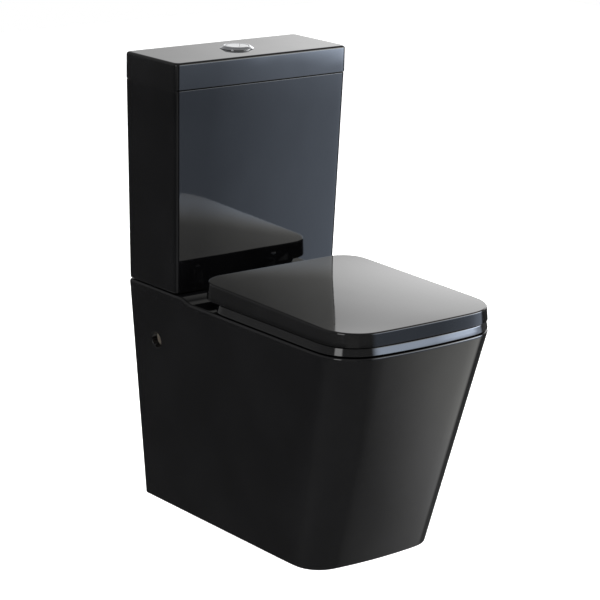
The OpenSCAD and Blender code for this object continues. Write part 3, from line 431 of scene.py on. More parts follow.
# %% Turned parts, pipes and blocks
def turned(name, profile, finish_names, steps=96, place=None, face_finish=0):
    points = []
    for step in range(steps):
        angle = 2 * math.pi * step / steps
        points += [(r * math.cos(angle), r * math.sin(angle), z) for r, z in profile]
    count = len(profile)
    faces = []
    for step in range(steps):
        here, there = step * count, (step + 1) % steps * count
        faces += [(here + i, there + i, there + (i + 1) % count,
                   here + (i + 1) % count) for i in range(count)]
    piece = mesh_object(name, points, faces, finish_names, face_finish)
    if place is not None:
        piece.data.transform(place)
    return piece


def pipe(name, centres, radii, finish_names, steps=56, face_finish=0):
    centres = np.asarray(centres, float)
    along = np.gradient(centres, axis=0)
    along /= np.linalg.norm(along, axis=1)[:, None]
    points = []
    for (y, z), (dy, dz), radius in zip(centres, along, radii):
        angles = np.linspace(0, 2 * math.pi, steps, endpoint=False)
        points += [(radius * math.cos(a), y - dz * radius * math.sin(a),
                    z + dy * radius * math.sin(a)) for a in angles]
    last = (len(radii) - 1) * steps
    faces = [tuple(range(steps))[::-1], tuple(range(last, last + steps))]
    for level in range(len(radii) - 1):
        low, high = level * steps, (level + 1) * steps
        faces += [(low + i, low + (i + 1) % steps, high + (i + 1) % steps, high + i) for i in range(steps)]
    return mesh_object(name, points, faces, finish_names, face_finish)


def block(name, low, high, finish_names, round_by=0.0, face_finish=0):
    corners = [(x, y, z) for x in (low[0], high[0]) for y in (low[1], high[1]) for z in (low[2], high[2])]
    faces = [(0, 1, 3, 2), (4, 6, 7, 5), (0, 4, 5, 1), (2, 3, 7, 6), (0, 2, 6, 4), (1, 5, 7, 3)]
    piece = mesh_object(name, corners, faces, finish_names, face_finish)
    if round_by:
        work = bmesh.new()
        work.from_mesh(piece.data)
        bmesh.ops.bevel(work, geom=list(work.edges), offset=round_by, segments=4, profile=0.5, affect="EDGES")
        for face in work.faces:
            face.smooth = True
            face.material_index = face_finish
        work.to_mesh(piece.data)
        work.free()
    return piece


def rod(name, start, end, radius, finish_names, face_finish=0, steps=64, round_by=0.0):
    start, end = Vector(start), Vector(end)
    length = (end - start).length
    r = round_by
    profile = [(0.0, 0.0), (radius - r, 0.0), (radius - 0.3 * r, 0.3 * r), (radius, r), (radius, length - r),
               (radius - 0.3 * r, length - 0.3 * r), (radius - r, length), (0.0, length)]
    if not round_by:
        profile = [(0.0, 0.0), (radius, 0.0), (radius, length), (0.0, length)]
    turn_to = (end - start).to_track_quat("Z", "Y").to_matrix().to_4x4()
    return turned(name, profile, finish_names, steps, Matrix.Translation(start) @ turn_to, face_finish)

# %% [markdown]
# Joining and cutting are done with boolean modifiers, applied at once. Faces made by a cutter
# keep the cutter's finish number, so the hollow can be bare clay while the outside is glazed.
# A weighted normal pass afterwards keeps the large flat faces flat in the reflections.

# %% Join, cut and finish off
def combine(piece, tool, operation="DIFFERENCE"):
    change = piece.modifiers.new("combine", "BOOLEAN")
    change.operation = operation
    change.solver = "MANIFOLD"
    change.object = tool
    bpy.context.view_layer.update()
    result = bpy.data.meshes.new_from_object(piece.evaluated_get(bpy.context.evaluated_depsgraph_get()))
    piece.modifiers.clear()
    old = piece.data
    result.name = old.name
    piece.data = result
    bpy.data.meshes.remove(old)
    bpy.data.objects.remove(tool)


def finish_off(piece, body, slot_name, *replaced, crease=32.0):
    work = bmesh.new()
    work.from_mesh(piece.data)
    bmesh.ops.remove_doubles(work, verts=work.verts, dist=2e-6)
    bmesh.ops.dissolve_degenerate(work, edges=work.edges, dist=1e-6)
    for face in work.faces:
        face.smooth = True
    work.to_mesh(piece.data)
    work.free()
    piece.data.set_sharp_from_angle(angle=math.radians(crease))
    flatten = piece.modifiers.new("weighted normals", "WEIGHTED_NORMAL")
    flatten.keep_sharp = True
    flatten.weight = 50
    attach(piece, body)
    if replaced:
        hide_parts(*replaced)
    print(piece.name, "-", len(piece.data.polygons), "faces")

# %% [markdown]
# ## Measures taken from the engineering model
# Sizes come from the boxes of the CAD nodes, so the looks follow the model. A few sizes that no
# box shows, such as a wall's thickness, are named here once.

# %% Measures
pan_low, pan_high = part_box("pan")
cistern_low, cistern_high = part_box("cistern")
lid_low, lid_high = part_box("cistern_lid")
ring_low, ring_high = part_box("seat_ring")
cover_low, cover_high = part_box("seat_cover")
bezel_low, bezel_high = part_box("button_bezel")
buffer_low, buffer_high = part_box("ring_buffers")
pin_low, pin_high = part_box("hinge_pin_right")
wall_y = pan_high.y
rim_z = buffer_low.z
shelf_z = pan_high.z
ring_top = buffer_high.z + 14 * mm
cover_z = cover_low.z
hinge_y = (pin_low.y + pin_high.y) / 2
hinge_z = (pin_low.z + pin_high.z) / 2
valve_y = (bezel_low.y + bezel_high.y) / 2
wall = 12 * mm
print("rim height", round(rim_z / mm, 1), "shelf", round(shelf_z / mm, 1), "hinge height",
      round(hinge_z / mm, 1))

# %% [markdown]
# ## The outside of the pan
# The skirt is a straight line from each point of the foot's outline to the same point of the
# rim's outline, which is how a slip casting mould with a lean is cut. Towards the back the deck
# ramps up in a soft S to the shelf that carries the cistern. Its edge is rounded all the way.

# %% Pan outline, ramp and body
FOOT_HALF = 140.5 * mm
FOOT_SETBACK = 116 * mm
FOOT_CORNER = 52 * mm
RIM_CORNER = 75 * mm
CROWN = 5 * mm
EASE = 22
RIM_ROUND = 5 * mm
RAMP_LENGTH = 30 * mm
RIM_HALF = FOOT_HALF + (pan_high.x - FOOT_HALF) * rim_z / shelf_z
ramp_back = lid_low.y - 1.2 * mm


def deck_height(y):
    t = np.clip((np.asarray(y) - (ramp_back - RAMP_LENGTH)) / RAMP_LENGTH, 0, 1)
    return rim_z + (shelf_z - rim_z) * (1 - np.cos(math.pi * t)) / 2


def pan_ring(height, inset=0.0, back=0.0):
    foot = half_plan(FOOT_HALF - inset, wall_y + back, pan_low.y + FOOT_SETBACK + inset, 3 * mm,
                     FOOT_CORNER - inset, CROWN, EASE)
    rim = half_plan(RIM_HALF - inset, wall_y + back, pan_low.y + inset, 3 * mm, RIM_CORNER - inset, CROWN,
                    EASE)
    heights = height(rim[:, 1]) if callable(height) else np.full(len(rim), float(height))
    share = (heights / rim_z)[:, None]
    level = foot + (rim - foot) * share
    solid = np.column_stack((level, heights))
    return np.vstack((solid, solid[-2:0:-1] * (-1, 1, 1)))


body_rings = [pan_ring(0.0, 2.2 * mm), pan_ring(0.4 * mm, 0.8 * mm), pan_ring(1.6 * mm, 0.1 * mm),
              pan_ring(3 * mm)]
body_rings += [pan_ring(lambda y, t=t: 3 * mm + (deck_height(y) - RIM_ROUND - 3 * mm) * t) for t in (0.25,
                                                                                                     0.5,
                                                                                                     0.75)]
for angle in np.radians(np.linspace(0, 90, 8)):
    inset = RIM_ROUND * (1 - math.cos(angle))
    body_rings.append(pan_ring(lambda y, a=angle: deck_height(y) - RIM_ROUND * (1 - math.sin(a)), inset))
pan = skin("pan_casting", body_rings, ("black_glaze", "bare_clay"))
print("pan outline points:", len(body_rings[0]))

# %% [markdown]
# The skirt is hollow and open underneath, because the clay wall must have an even thickness to
# survive the kiln. Its sides turn in at the back and leave an opening, which keeps the hollow in
# the dark when it is seen through a service hole. Its inner faces are bare clay.

# %% Hollow of the skirt
under_deck = rim_z - 14 * mm
BACK_OPENING = 94 * mm
hollow = skin("hollow", [pan_ring(-2 * mm, wall, -wall), pan_ring(under_deck - 6 * mm, wall, -wall),
                         pan_ring(under_deck - 1.8 * mm, wall + 1.8 * mm, -wall - 1.8 * mm),
                         pan_ring(under_deck, wall + 6 * mm, -wall - 6 * mm)],
              ("black_glaze", "bare_clay"), 1)
combine(pan, hollow)
combine(pan, block("back_opening", (-BACK_OPENING, wall_y - wall - mm, -3 * mm),
                   (BACK_OPENING, wall_y + 20 * mm, under_deck - 7 * mm), ("black_glaze", "bare_clay"), 0.0,
                   1))

# %% [markdown]
# ## The waterway
# The bowl narrows down to the sump. From there the trap rises over a weir, which holds the
# water seal, and falls to the outlet. Each shape is made twice: a thick one is joined to the
# casting, then a thin one is cut out of it.

# %% Bowl levels
BOWL_HALF = pan_high.x - 46 * mm
BOWL_BACK = wall_y - 268 * mm
BOWL_FRONT = pan_low.y + 42 * mm
SUMP_Y = wall_y - 336 * mm
BOWL_LEVELS = [
    (104, 26, SUMP_Y + 28 * mm, SUMP_Y - 26 * mm, 2.2), (120, 38, SUMP_Y + 40 * mm, SUMP_Y - 40 * mm, 2.2),
    (155, 50, SUMP_Y + 46 * mm, SUMP_Y - 58 * mm, 2.2), (197, 64, wall_y - 282 * mm, wall_y - 440 * mm, 2.3),
    (246, 92, wall_y - 272 * mm, wall_y - 500 * mm, 2.4),
               (299, 117, wall_y - 266 * mm, wall_y - 548 * mm, 2.5),
    (357, BOWL_HALF / mm - 2, BOWL_BACK, BOWL_FRONT + 6 * mm, 2.6),
    (400, BOWL_HALF / mm, BOWL_BACK, BOWL_FRONT, 2.6)]


def smooth_levels(levels, count):
    table = np.array(levels, float)
    spots = np.linspace(0, len(levels) - 1, count)
    padded = np.vstack((2 * table[0] - table[1], table, 2 * table[-1] - table[-2]))
    result = []
    for spot in spots:
        i = min(int(spot), len(levels) - 2)
        t = spot - i
        a, b, c, d = padded[i:i + 4]
        result.append(0.5 * (2 * b + (c - a) * t + (2 * a - 5 * b + 4 * c - d) * t * t
                             + (3 * b - a - 3 * c + d) * t ** 3))
    return result


def bowl_solid(name, grow, lip, top, finish_number):
    rings = []
    for z, half, back, front, squareness in smooth_levels(BOWL_LEVELS, 36):
        plan = half_oval(half * mm + grow, back + grow, front - grow, squareness, 48)
        rings.append(ring_at(plan, z * mm))
    first = BOWL_LEVELS[0]
    for share, drop in ((0.8, 5), (0.5, 9), (0.15, 11)):
        middle = (first[2] + first[3]) / 2
        half_way = (first[2] - first[3]) / 2 * share + grow * share
        plan = half_oval(first[1] * mm * share + grow * share, middle + half_way, middle - half_way, 2.2, 48)
        rings.insert(0, ring_at(plan, first[0] * mm - (drop * mm if lip else grow * (1 - share) + 2 * mm)))
    if lip:
        rings = [ring for ring in rings if ring[0, 2] < rim_z - lip]
        for angle in np.radians(np.linspace(0, 90, 9)):
            out = lip * (1 - math.cos(angle))
            plan = half_oval(BOWL_HALF + out, BOWL_BACK + out, BOWL_FRONT - out, 2.6, 48)
            rings.append(ring_at(plan, rim_z - lip + lip * math.sin(angle)))
    plan = half_oval(BOWL_HALF + (lip or grow), BOWL_BACK + (lip or grow), BOWL_FRONT - (lip or grow), 2.6,
                     48)
    rings.append(ring_at(plan, top))
    return skin(name, rings, ("black_glaze", "bare_clay"), finish_number)


combine(pan, bowl_solid("bowl_wall", 11 * mm, 0, under_deck + 2 * mm, 1), "UNION")

# %% Trap and outlet
OUTLET_Z = 180 * mm
TRAP_LINE = [(SUMP_Y / mm + 2, 141), (10, 140), (36, 146), (56, 168), (72, 200), (88, 231), (108, 252),
             (130, 258),
             (150, 248), (166, 226), (182, 203), (202, 187), (222, 180), (240, 180)]
trap_line = np.array(smooth_levels(TRAP_LINE, 60)) * mm
trap_bore = np.interp(np.linspace(0, 1, 60), [0, 0.75, 1], [34, 34, 37.5]) * mm
combine(pan, pipe("trap_wall", trap_line, trap_bore + 10.5 * mm, ("black_glaze", "bare_clay"),
                  face_finish=1), "UNION")
spigot_profile = [(20 * mm, 0), (51 * mm, 0), (51 * mm, 47 * mm), (50.4 * mm, 49 * mm), (49 * mm, 50 * mm),
                  (20 * mm, 50 * mm)]
along_y = Matrix.Translation((0, wall_y - 78 * mm, OUTLET_Z)) @ Matrix.Rotation(math.radians(-90), 4, "X")
combine(pan, turned("spigot", spigot_profile, ("black_glaze", "bare_clay"), 96, along_y, 1), "UNION")

# %% Flush inlet walls
duct_z = 0.855 * rim_z
for name, half, front, back in (("chamber", 66 * mm, valve_y - 66 * mm, valve_y + 66 * mm),
                                ("duct", 41 * mm, BOWL_BACK, valve_y)):
    combine(pan, block(name, (-half, front, duct_z - wall), (half, back, under_deck + 3 * mm),
                       ("black_glaze", "bare_clay"), 3 * mm, 1), "UNION")

# %% Cut the waterway
combine(pan, bowl_solid("bowl", 0.0, 7 * mm, shelf_z + 5 * mm, 0))
combine(pan, pipe("trap", trap_line, trap_bore, ("black_glaze", "bare_clay")))
combine(pan, rod("outlet_bore", (0, wall_y - 72 * mm, OUTLET_Z), (0, wall_y + 10 * mm, OUTLET_Z), 39 * mm,
                 ("black_glaze", "bare_clay")))
combine(pan, rod("recess", (0, valve_y, shelf_z - 24 * mm), (0, valve_y, shelf_z + 20 * mm), 54 * mm,
                 ("black_glaze", "bare_clay")))
combine(pan, rod("inlet", (0, valve_y, duct_z), (0, valve_y, shelf_z), 33 * mm, ("black_glaze", "bare_clay")))
combine(pan, block("duct_way", (-29 * mm, BOWL_BACK - 14 * mm, duct_z + 0.5 * mm),
                   (29 * mm, valve_y, duct_z + 32 * mm),
                   ("black_glaze", "bare_clay")))

# %% [markdown]
# Holes in fired clay are cut while it is still soft and wiped with a sponge, so their edges are
# round. The service hole in each side has such a soft rim; the bolt holes are hidden.

# %% Holes in the pan
hinge_x = (pin_low.x + pin_high.x) / 2
bolt_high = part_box("coupling_bolts")[1]
bolt_x = bolt_high.x - 10 * mm
SERVICE_HOLE_Y = wall_y - 73 * mm
SERVICE_HOLE_Z = 317 * mm
SERVICE_HOLE_R = 14 * mm
lean = math.atan2(RIM_HALF - FOOT_HALF, rim_z)
face_x = FOOT_HALF + (RIM_HALF - FOOT_HALF) * SERVICE_HOLE_Z / rim_z
rim_r = 2.2 * mm
hole_profile = [(0, -40 * mm), (SERVICE_HOLE_R, -40 * mm), (SERVICE_HOLE_R, -rim_r)]
hole_profile += [(SERVICE_HOLE_R + rim_r * (1 - math.cos(a)), -rim_r + rim_r * math.sin(a))
                 for a in np.radians((15, 30, 45, 60, 75, 90))]
hole_profile += [(SERVICE_HOLE_R + rim_r, 20 * mm), (0, 20 * mm)]
for side in (-1, 1):
    facing = Matrix.Translation((side * face_x, SERVICE_HOLE_Y, SERVICE_HOLE_Z)) @ \
        Matrix.Rotation(side * (math.radians(90) + lean), 4, "Y")
    combine(pan, turned("service_hole", hole_profile, ("black_glaze", "bare_clay"), 64, facing))
    for x, y, radius in ((hinge_x, hinge_y, 8 * mm), (bolt_x, valve_y, 6.5 * mm)):
        combine(pan, rod("bolt_hole", (side * x, y, under_deck - mm), (side * x, y, shelf_z + 20 * mm),
                         radius,
                         ("black_glaze", "bare_clay")))
fill_low, fill_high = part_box("fill_valve_body")
fill_x = (fill_low.x + fill_high.x) / 2
combine(pan, block("supply_notch", (fill_x - 24 * mm, valve_y - 30 * mm, under_deck - mm),
                   (fill_x + 24 * mm, wall_y + 20 * mm, shelf_z + mm), ("black_glaze", "bare_clay"), 0.0, 1))
casting_nodes = [name for name in frame["nodes"] if name == "pan" or name.startswith("pan_")]
finish_off(pan, "pan_and_cistern", "black_glaze", *casting_nodes)

# %% [markdown]
# ## The cistern
# The cistern leans out towards its top. It is cast as a box with thin walls, open at the top.
# Its front corners are tight but soft, and its foot is rounded where it stands on the shelf.

# %% Cistern body
CISTERN_BASE_HALF = 177.5 * mm
CISTERN_BASE_DEPTH = 145 * mm
CISTERN_WALL = 9 * mm
CISTERN_FLOOR = 13 * mm


def cistern_ring(height, inset=0.0, back_inset=None):
    t = (height - cistern_low.z) / (cistern_high.z - cistern_low.z)
    half = CISTERN_BASE_HALF + (cistern_high.x - CISTERN_BASE_HALF) * t - inset
    front = wall_y - CISTERN_BASE_DEPTH + (cistern_low.y - (wall_y - CISTERN_BASE_DEPTH)) * t + inset
    back = wall_y - (inset if back_inset is None else back_inset)
    return ring_at(half_plan(half, back, front, 4 * mm, max(9 * mm - inset / 2, 3 * mm), 0.4 * mm, 5), height)


def rounded_heights(low, high, low_round, high_round, steps=6):
    stops = []
    for angle in np.radians(np.linspace(90, 0, steps)):
        stops.append((low + low_round * (1 - math.sin(angle)), low_round * (1 - math.cos(angle))))
    for angle in np.radians(np.linspace(0, 90, steps)):
        stops.append((high - high_round * (1 - math.sin(angle)), high_round * (1 - math.cos(angle))))
    return stops


stops = rounded_heights(cistern_low.z, cistern_high.z, 3 * mm, 1.5 * mm)
cistern = skin("cistern_body", [cistern_ring(z, inset) for z, inset in stops])
floor_z = cistern_low.z + CISTERN_FLOOR
hollow = skin("cistern_hollow", [cistern_ring(floor_z, CISTERN_WALL + 8 * mm),
                                 cistern_ring(floor_z + 2 * mm, CISTERN_WALL + 3 * mm),
                                 cistern_ring(floor_z + 8 * mm, CISTERN_WALL),
                                 cistern_ring(cistern_high.z - 1.5 * mm, CISTERN_WALL),
                                 cistern_ring(cistern_high.z + 4 * mm, CISTERN_WALL - 2 * mm)])
combine(cistern, hollow)
for x, radius in ((0.0, 32 * mm), (fill_x, 12 * mm), (-bolt_x, 6.5 * mm), (bolt_x, 6.5 * mm)):
    combine(cistern, rod("floor_hole", (x, valve_y, cistern_low.z - mm), (x, valve_y, floor_z + 12 * mm),
                         radius,
                         ("black_glaze",)))
finish_off(cistern, "pan_and_cistern", "black_glaze", "cistern")

# %% [markdown]
# ## The cistern lid
# The lid is a deep cap with upright sides. It sits on the cistern's edge, and small tabs keep it
# from sliding. A thin shadow line shows all round where the two castings meet.

# %% Cistern lid
LID_TOP = 12 * mm
LID_SKIRT = 10 * mm
stops = rounded_heights(lid_high.z - 47.5 * mm, lid_high.z, 1.2 * mm, 4.5 * mm, 8)


def lid_ring(height, inset):
    return ring_at(half_plan(lid_high.x - inset, wall_y - inset, lid_low.y + inset, 5 * mm, 9 * mm,
                             0.3 * mm, 5), height)


lid = skin("cistern_cap", [lid_ring(z, inset) for z, inset in stops], ("black_glaze", "bare_clay"))
lid_z = stops[0][0]
hollow = skin("lid_hollow", [lid_ring(lid_z - mm, LID_SKIRT),
                             lid_ring(lid_high.z - LID_TOP - 5 * mm, LID_SKIRT),
                             lid_ring(lid_high.z - LID_TOP, LID_SKIRT + 5 * mm)],
              ("black_glaze", "bare_clay"), 1)
combine(lid, hollow)
tab_half = cistern_high.x - CISTERN_WALL - 0.6 * mm
tab_front = cistern_low.y + CISTERN_WALL + 0.6 * mm
tab_back = wall_y - CISTERN_WALL - 0.6 * mm
tab_low, tab_high, tab_t = lid_z - 8 * mm, lid_high.z - LID_TOP + mm, 6 * mm
for side in (-1, 1):
    x0, x1 = sorted((side * tab_half, side * (tab_half - tab_t)))
    combine(lid, block("tab", (x0, valve_y - 20 * mm, tab_low), (x1, valve_y + 20 * mm, tab_high),
                       ("black_glaze", "bare_clay"), 1.2 * mm, 1), "UNION")
    for y0, y1 in ((tab_front, tab_front + tab_t), (tab_back - tab_t, tab_back)):
        combine(lid, block("tab", (side * 110 * mm - 15 * mm, y0, tab_low),
                           (side * 110 * mm + 15 * mm, y1, tab_high),
                           ("black_glaze", "bare_clay"), 1.2 * mm, 1), "UNION")
button_hole_r = 24.5 * mm
combine(lid, rod("button_hole", (0, valve_y, lid_high.z - 20 * mm), (0, valve_y, lid_high.z + 5 * mm),
                 button_hole_r,
                 ("black_glaze", "bare_clay")))
finish_off(lid, "cistern_lid", "black_glaze", "cistern_lid")

# %% [markdown]
# ## The seat ring
# The ring is moulded in a hard glossy plastic. Its outline follows the rim of the pan, with large
# rear corners, and its hole follows the bowl. Two barrels at the back carry it on the hinge pins.

# %% Seat ring
RING_BACK_CORNER = 45 * mm
ring_z = buffer_high.z
ring_back = hinge_y - 16 * mm
stops = [(ring_z, 1.0 * mm), (ring_z + 0.3 * mm, 0.3 * mm), (ring_z + 1.0 * mm, 0.0),
         (ring_z + 6.0 * mm, 1.2 * mm), (ring_top - 2.4 * mm, 2.7 * mm)]
stops += [(ring_top - 2.2 * mm * (1 - math.sin(a)), 2.7 * mm + 2.4 * mm * (1 - math.cos(a)))
          for a in np.radians((20, 40, 60, 80, 90))]


def seat_plan(inset):
    return half_plan(ring_high.x - inset, ring_back - inset, ring_low.y + inset, RING_BACK_CORNER - inset,
                     RIM_CORNER - mm - inset, CROWN, EASE)


ring = skin("seat_ring_moulding", [ring_at(seat_plan(inset), z) for z, inset in stops], ("black_seat",))
hole_half = BOWL_HALF - 20 * mm
hole_back, hole_front = ring_back - 50 * mm, pan_low.y + 56 * mm
hole_rings = []
for z, out in [(ring_z - mm, 4 * mm)] + [(z, inset) for z,
                                         inset in rounded_heights(ring_z, ring_top, 2 * mm, 5 * mm, 7)] \
        + [(ring_top + mm, 5 * mm)]:
    hole_rings.append(ring_at(half_oval(hole_half + out, hole_back + out, hole_front - out, 2.3, 60), z))
combine(ring, skin("ring_hole", hole_rings, ("black_seat",)))

# %% Hinge barrels of the ring
POST_HALF = 10 * mm
LUG_GAP = 1 * mm
LUG_WIDTH = 20 * mm
BARREL_R = 9 * mm
PIN_BORE = 4.06 * mm
DAMPER_BORE = 7.1 * mm
lug_out = hinge_x + POST_HALF + LUG_GAP
lug_in = hinge_x - POST_HALF - LUG_GAP


def on_hinge(name, x0, x1, radius, finish_name, round_by=0.0):
    return rod(name, (x0, hinge_y, hinge_z), (x1, hinge_y, hinge_z), radius, (finish_name,), 0, 48, round_by)


def prism_x(name, x0, x1, outline, finish_name):
    count = len(outline)
    points = [(x, y, z) for x in (x0, x1) for y, z in outline]
    faces = [tuple(range(count)), tuple(range(count, 2 * count))[::-1]]
    faces += [(i, (i + 1) % count, count + (i + 1) % count, count + i) for i in range(count)]
    return mesh_object(name, points, faces, (finish_name,))


web = [(ring_back - 12 * mm, ring_z + mm), (ring_back + mm, ring_z + mm),
       (hinge_y + 3 * mm, hinge_z - 7 * mm),
       (hinge_y - 8 * mm, hinge_z + 3 * mm), (ring_back - 12 * mm, ring_top - 2 * mm)]
for side in (-1, 1):
    x0, x1 = sorted((side * lug_out, side * (lug_out + LUG_WIDTH)))
    combine(ring, on_hinge("barrel", x0, x1, BARREL_R, "black_seat", 1.2 * mm), "UNION")
    combine(ring, prism_x("web", x0 + 0.3 * mm, x1 - 0.3 * mm, web, "black_seat"), "UNION")
    combine(ring, on_hinge("bore", x0 - 2 * mm, x1 + 2 * mm, PIN_BORE, "black_seat"))
    d0, d1 = sorted((side * (lug_out + 4 * mm), side * (lug_out + LUG_WIDTH + 2 * mm)))
    combine(ring, on_hinge("damper_bore", d0, d1, DAMPER_BORE, "black_seat"))
finish_off(ring, "seat_ring", "black_seat", "seat_ring")

# %% [markdown]
# ## The seat cover
# The cover wraps over the ring. Its top falls gently towards the front and is crowned a few
# millimetres from side to side, which bends the reflection of the cistern into a long soft S.
# It is a thin shell underneath, with a skirt that hides the hinges.

# %% Seat cover
COVER_CORNER = 70 * mm
COVER_BACK_CORNER = 50 * mm
COVER_EDGE = 3 * mm
COVER_SKIN = 5 * mm
COVER_RIM = 6 * mm
TOP_FALL = 7.5 * mm
DRAFT = 2.2 * mm
COVER_CROWN = 4.0 * mm


def cover_plan(inset):
    return half_plan(cover_high.x - inset, cover_high.y - inset, cover_low.y + inset,
                     COVER_BACK_CORNER - inset,
                     COVER_CORNER - inset, 2 * mm, 14)


def cover_top(y, drop=0.0, x=None):
    share = np.clip((cover_high.y - np.asarray(y)) / (cover_high.y - cover_low.y), 0, 1)
    fall = cover_high.z - TOP_FALL * share - drop
    if x is None:
        return fall
    across = 1 - np.clip(np.abs(np.asarray(x)) / cover_high.x, 0, 1) ** 2
    return fall + across * (COVER_CROWN * 4 * share * (1 - share) + TOP_FALL * (share - share ** 1.8))


def crowned(plan, drop=0.0):
    heights = cover_top(plan[:, 1], drop, plan[:, 0])
    return ring_at(plan, lambda y: heights)


cover_rings = [ring_at(cover_plan(1.0 * mm), cover_z), ring_at(cover_plan(0.3 * mm), cover_z + 0.3 * mm),
               ring_at(cover_plan(0.0), cover_z + mm)]
for t in (0.35, 0.7, 1.0):
    cover_rings.append(ring_at(cover_plan(DRAFT * t), lambda y,
                               t=t: cover_z + mm + (cover_top(y, COVER_EDGE) - cover_z - mm) * t))
for angle in np.radians(np.linspace(15, 90, 7)):
    cover_rings.append(crowned(cover_plan(DRAFT + COVER_EDGE * (1 - math.cos(angle))),
                               COVER_EDGE * (1 - math.sin(angle))))
for inset in (7, 10, 14, 19, 25, 32, 40, 48):
    cover_rings.append(crowned(cover_plan(inset * mm)))
inner = cover_plan(48 * mm)
heart = np.array((0.0, (cover_high.y + cover_low.y) / 2))
for t in (0.88, 0.75, 0.6, 0.45, 0.3, 0.15, 0.04):
    cover_rings.append(crowned(heart + (inner - heart) * t))
cover = skin("seat_cover_moulding", cover_rings, ("black_seat",))
hollow_rings = [ring_at(cover_plan(COVER_RIM), cover_z - mm),
                ring_at(cover_plan(COVER_RIM), lambda y: cover_top(y, COVER_SKIN + 4 * mm)),
                ring_at(cover_plan(COVER_RIM + 4 * mm), lambda y: cover_top(y, COVER_SKIN))]
combine(cover, skin("cover_hollow", hollow_rings, ("black_seat",)))

# %% Hinge barrels, bosses and slots of the cover
for side in (-1, 1):
    x0, x1 = sorted((side * lug_in, side * (lug_in - LUG_WIDTH)))
    combine(cover, on_hinge("barrel", x0, x1, BARREL_R, "black_seat", 1.2 * mm), "UNION")
    combine(cover, block("rib", (x0 + mm, hinge_y - 7 * mm, hinge_z + 2 * mm),
                         (x1 - mm, cover_high.y - 2 * mm, cover_high.z - 3 * mm),
                         ("black_seat",)), "UNION")
    for x, y in ((cover_high.x - 40 * mm, wall_y - 330 * mm), (105 * mm, cover_low.y + 38 * mm)):
        top = float(cover_top(y, 0)) - 2 * mm
        combine(cover, rod("boss", (side * x, y, cover_z + 1.5 * mm), (side * x, y, top), 6 * mm,
                           ("black_seat",), 0, 40), "UNION")
    combine(cover, on_hinge("bore", x0 - 2 * mm, x1 + 2 * mm, PIN_BORE, "black_seat"))
    d0, d1 = sorted((side * (lug_in - 4 * mm), side * (lug_in - LUG_WIDTH - 2 * mm)))
    combine(cover, on_hinge("damper_bore", d0, d1, DAMPER_BORE, "black_seat"))
    s0, s1 = sorted((side * (lug_in + 0.4 * mm), side * (lug_out + LUG_WIDTH + 2 * mm)))
    combine(cover, block("slot", (s0, hinge_y - 14 * mm, cover_z - mm),
                         (s1, cover_high.y + mm, cover_high.z - 5 * mm), ("black_seat",)))
finish_off(cover, "seat_cover", "black_seat", "seat_cover")

# %% [markdown]
# ## The chrome hinge posts
# Each post is a die casting: a round foot that hides the fixing, a short stem and a barrel that
# holds the pin. Only a glint of them shows under the cover, but they are in plain view once it opens.

# %% Hinge posts
for side, node_name in ((-1, "hinge_post_left"), (1, "hinge_post_right")):
    x = side * hinge_x
    foot_profile = [(0, 0), (13.4 * mm, 0), (14 * mm, 0.5 * mm), (14 * mm, 1.2 * mm), (13.2 * mm, 2.3 * mm),
                    (11.5 * mm, 3 * mm), (0, 3 * mm)]
    post = turned(node_name.replace("hinge_post", "chrome_post"), foot_profile, ("chrome_trim",), 72,
                  Matrix.Translation((x, hinge_y, rim_z)))
    combine(post, block("stem", (x - 9.4 * mm, hinge_y - 7 * mm, rim_z + mm),
                        (x + 9.4 * mm, hinge_y + 7 * mm, hinge_z),
                        ("chrome_trim",), 1.6 * mm), "UNION")
    combine(post, on_hinge("post_barrel", x - POST_HALF, x + POST_HALF, BARREL_R, "chrome_trim", 1.2 * mm),
            "UNION")
    combine(post, on_hinge("post_bore", x - 2 * POST_HALF, x + 2 * POST_HALF, 4 * mm, "chrome_trim"))
    finish_off(post, "pan_and_cistern", "chrome_trim", node_name)

# %% [markdown]
# ## The dual flush button
# The chrome button is split into a larger part for the full flush and a smaller part for the half
# flush. The bezel slopes down to the lid. All edges are polished round, so the profiles have
# small arcs, and the two buttons are cut from one turned disc with a saw as thick as the gap.

# %% Bezel
button_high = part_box("full_flush_button")[1]
BUTTON_R = 20.6 * mm
BUTTON_BORE = 21.2 * mm
SPLIT_OFFSET = 5 * mm
SPLIT_GAP = 0.35 * mm
BUTTON_TURN = math.radians(-38)
bezel_r = bezel_high.x
lid_top = lid_high.z
rise = bezel_high.z - lid_top
on_valve = Matrix.Translation((0, valve_y, 0)) @ Matrix.Rotation(BUTTON_TURN, 4, "Z")


def corner(centre, radius, start, end, steps=6):
    return [tuple(point) for point in arc(centre, radius, start, end, steps)]


bezel_profile = [(BUTTON_BORE, lid_top), (bezel_r - 0.6 * mm, lid_top)]
bezel_profile += corner((bezel_r - 0.6 * mm, lid_top + 0.6 * mm), 0.6 * mm, -60, 35)
bezel_profile += corner((bezel_r - 6.6 * mm, lid_top + rise - 1.6 * mm), 1.6 * mm, 38, 90)
bezel_profile += corner((BUTTON_BORE + 0.9 * mm, lid_top + rise - 0.9 * mm), 0.9 * mm, 90, 180)
bezel = turned("chrome_bezel", bezel_profile, ("chrome_trim", "white_plastic"), 128, on_valve)
barrel_low = bezel_low.z
barrel_r = 24 * mm
thread = [(BUTTON_BORE, lid_top + 0.4 * mm), (BUTTON_BORE, barrel_low + 0.4 * mm),
          (barrel_r - 0.8 * mm, barrel_low)]
pitch = 2 * mm
turns = int((lid_top - 1 * mm - barrel_low) / pitch)
for i in range(turns):
    z = barrel_low + 0.4 * mm + i * pitch
    thread += [(barrel_r - 0.7 * mm, z), (barrel_r, z + 0.7 * mm), (barrel_r, z + 1.1 * mm),
               (barrel_r - 0.7 * mm, z + 1.8 * mm)]
thread.append((barrel_r - 0.7 * mm, lid_top + 0.4 * mm))
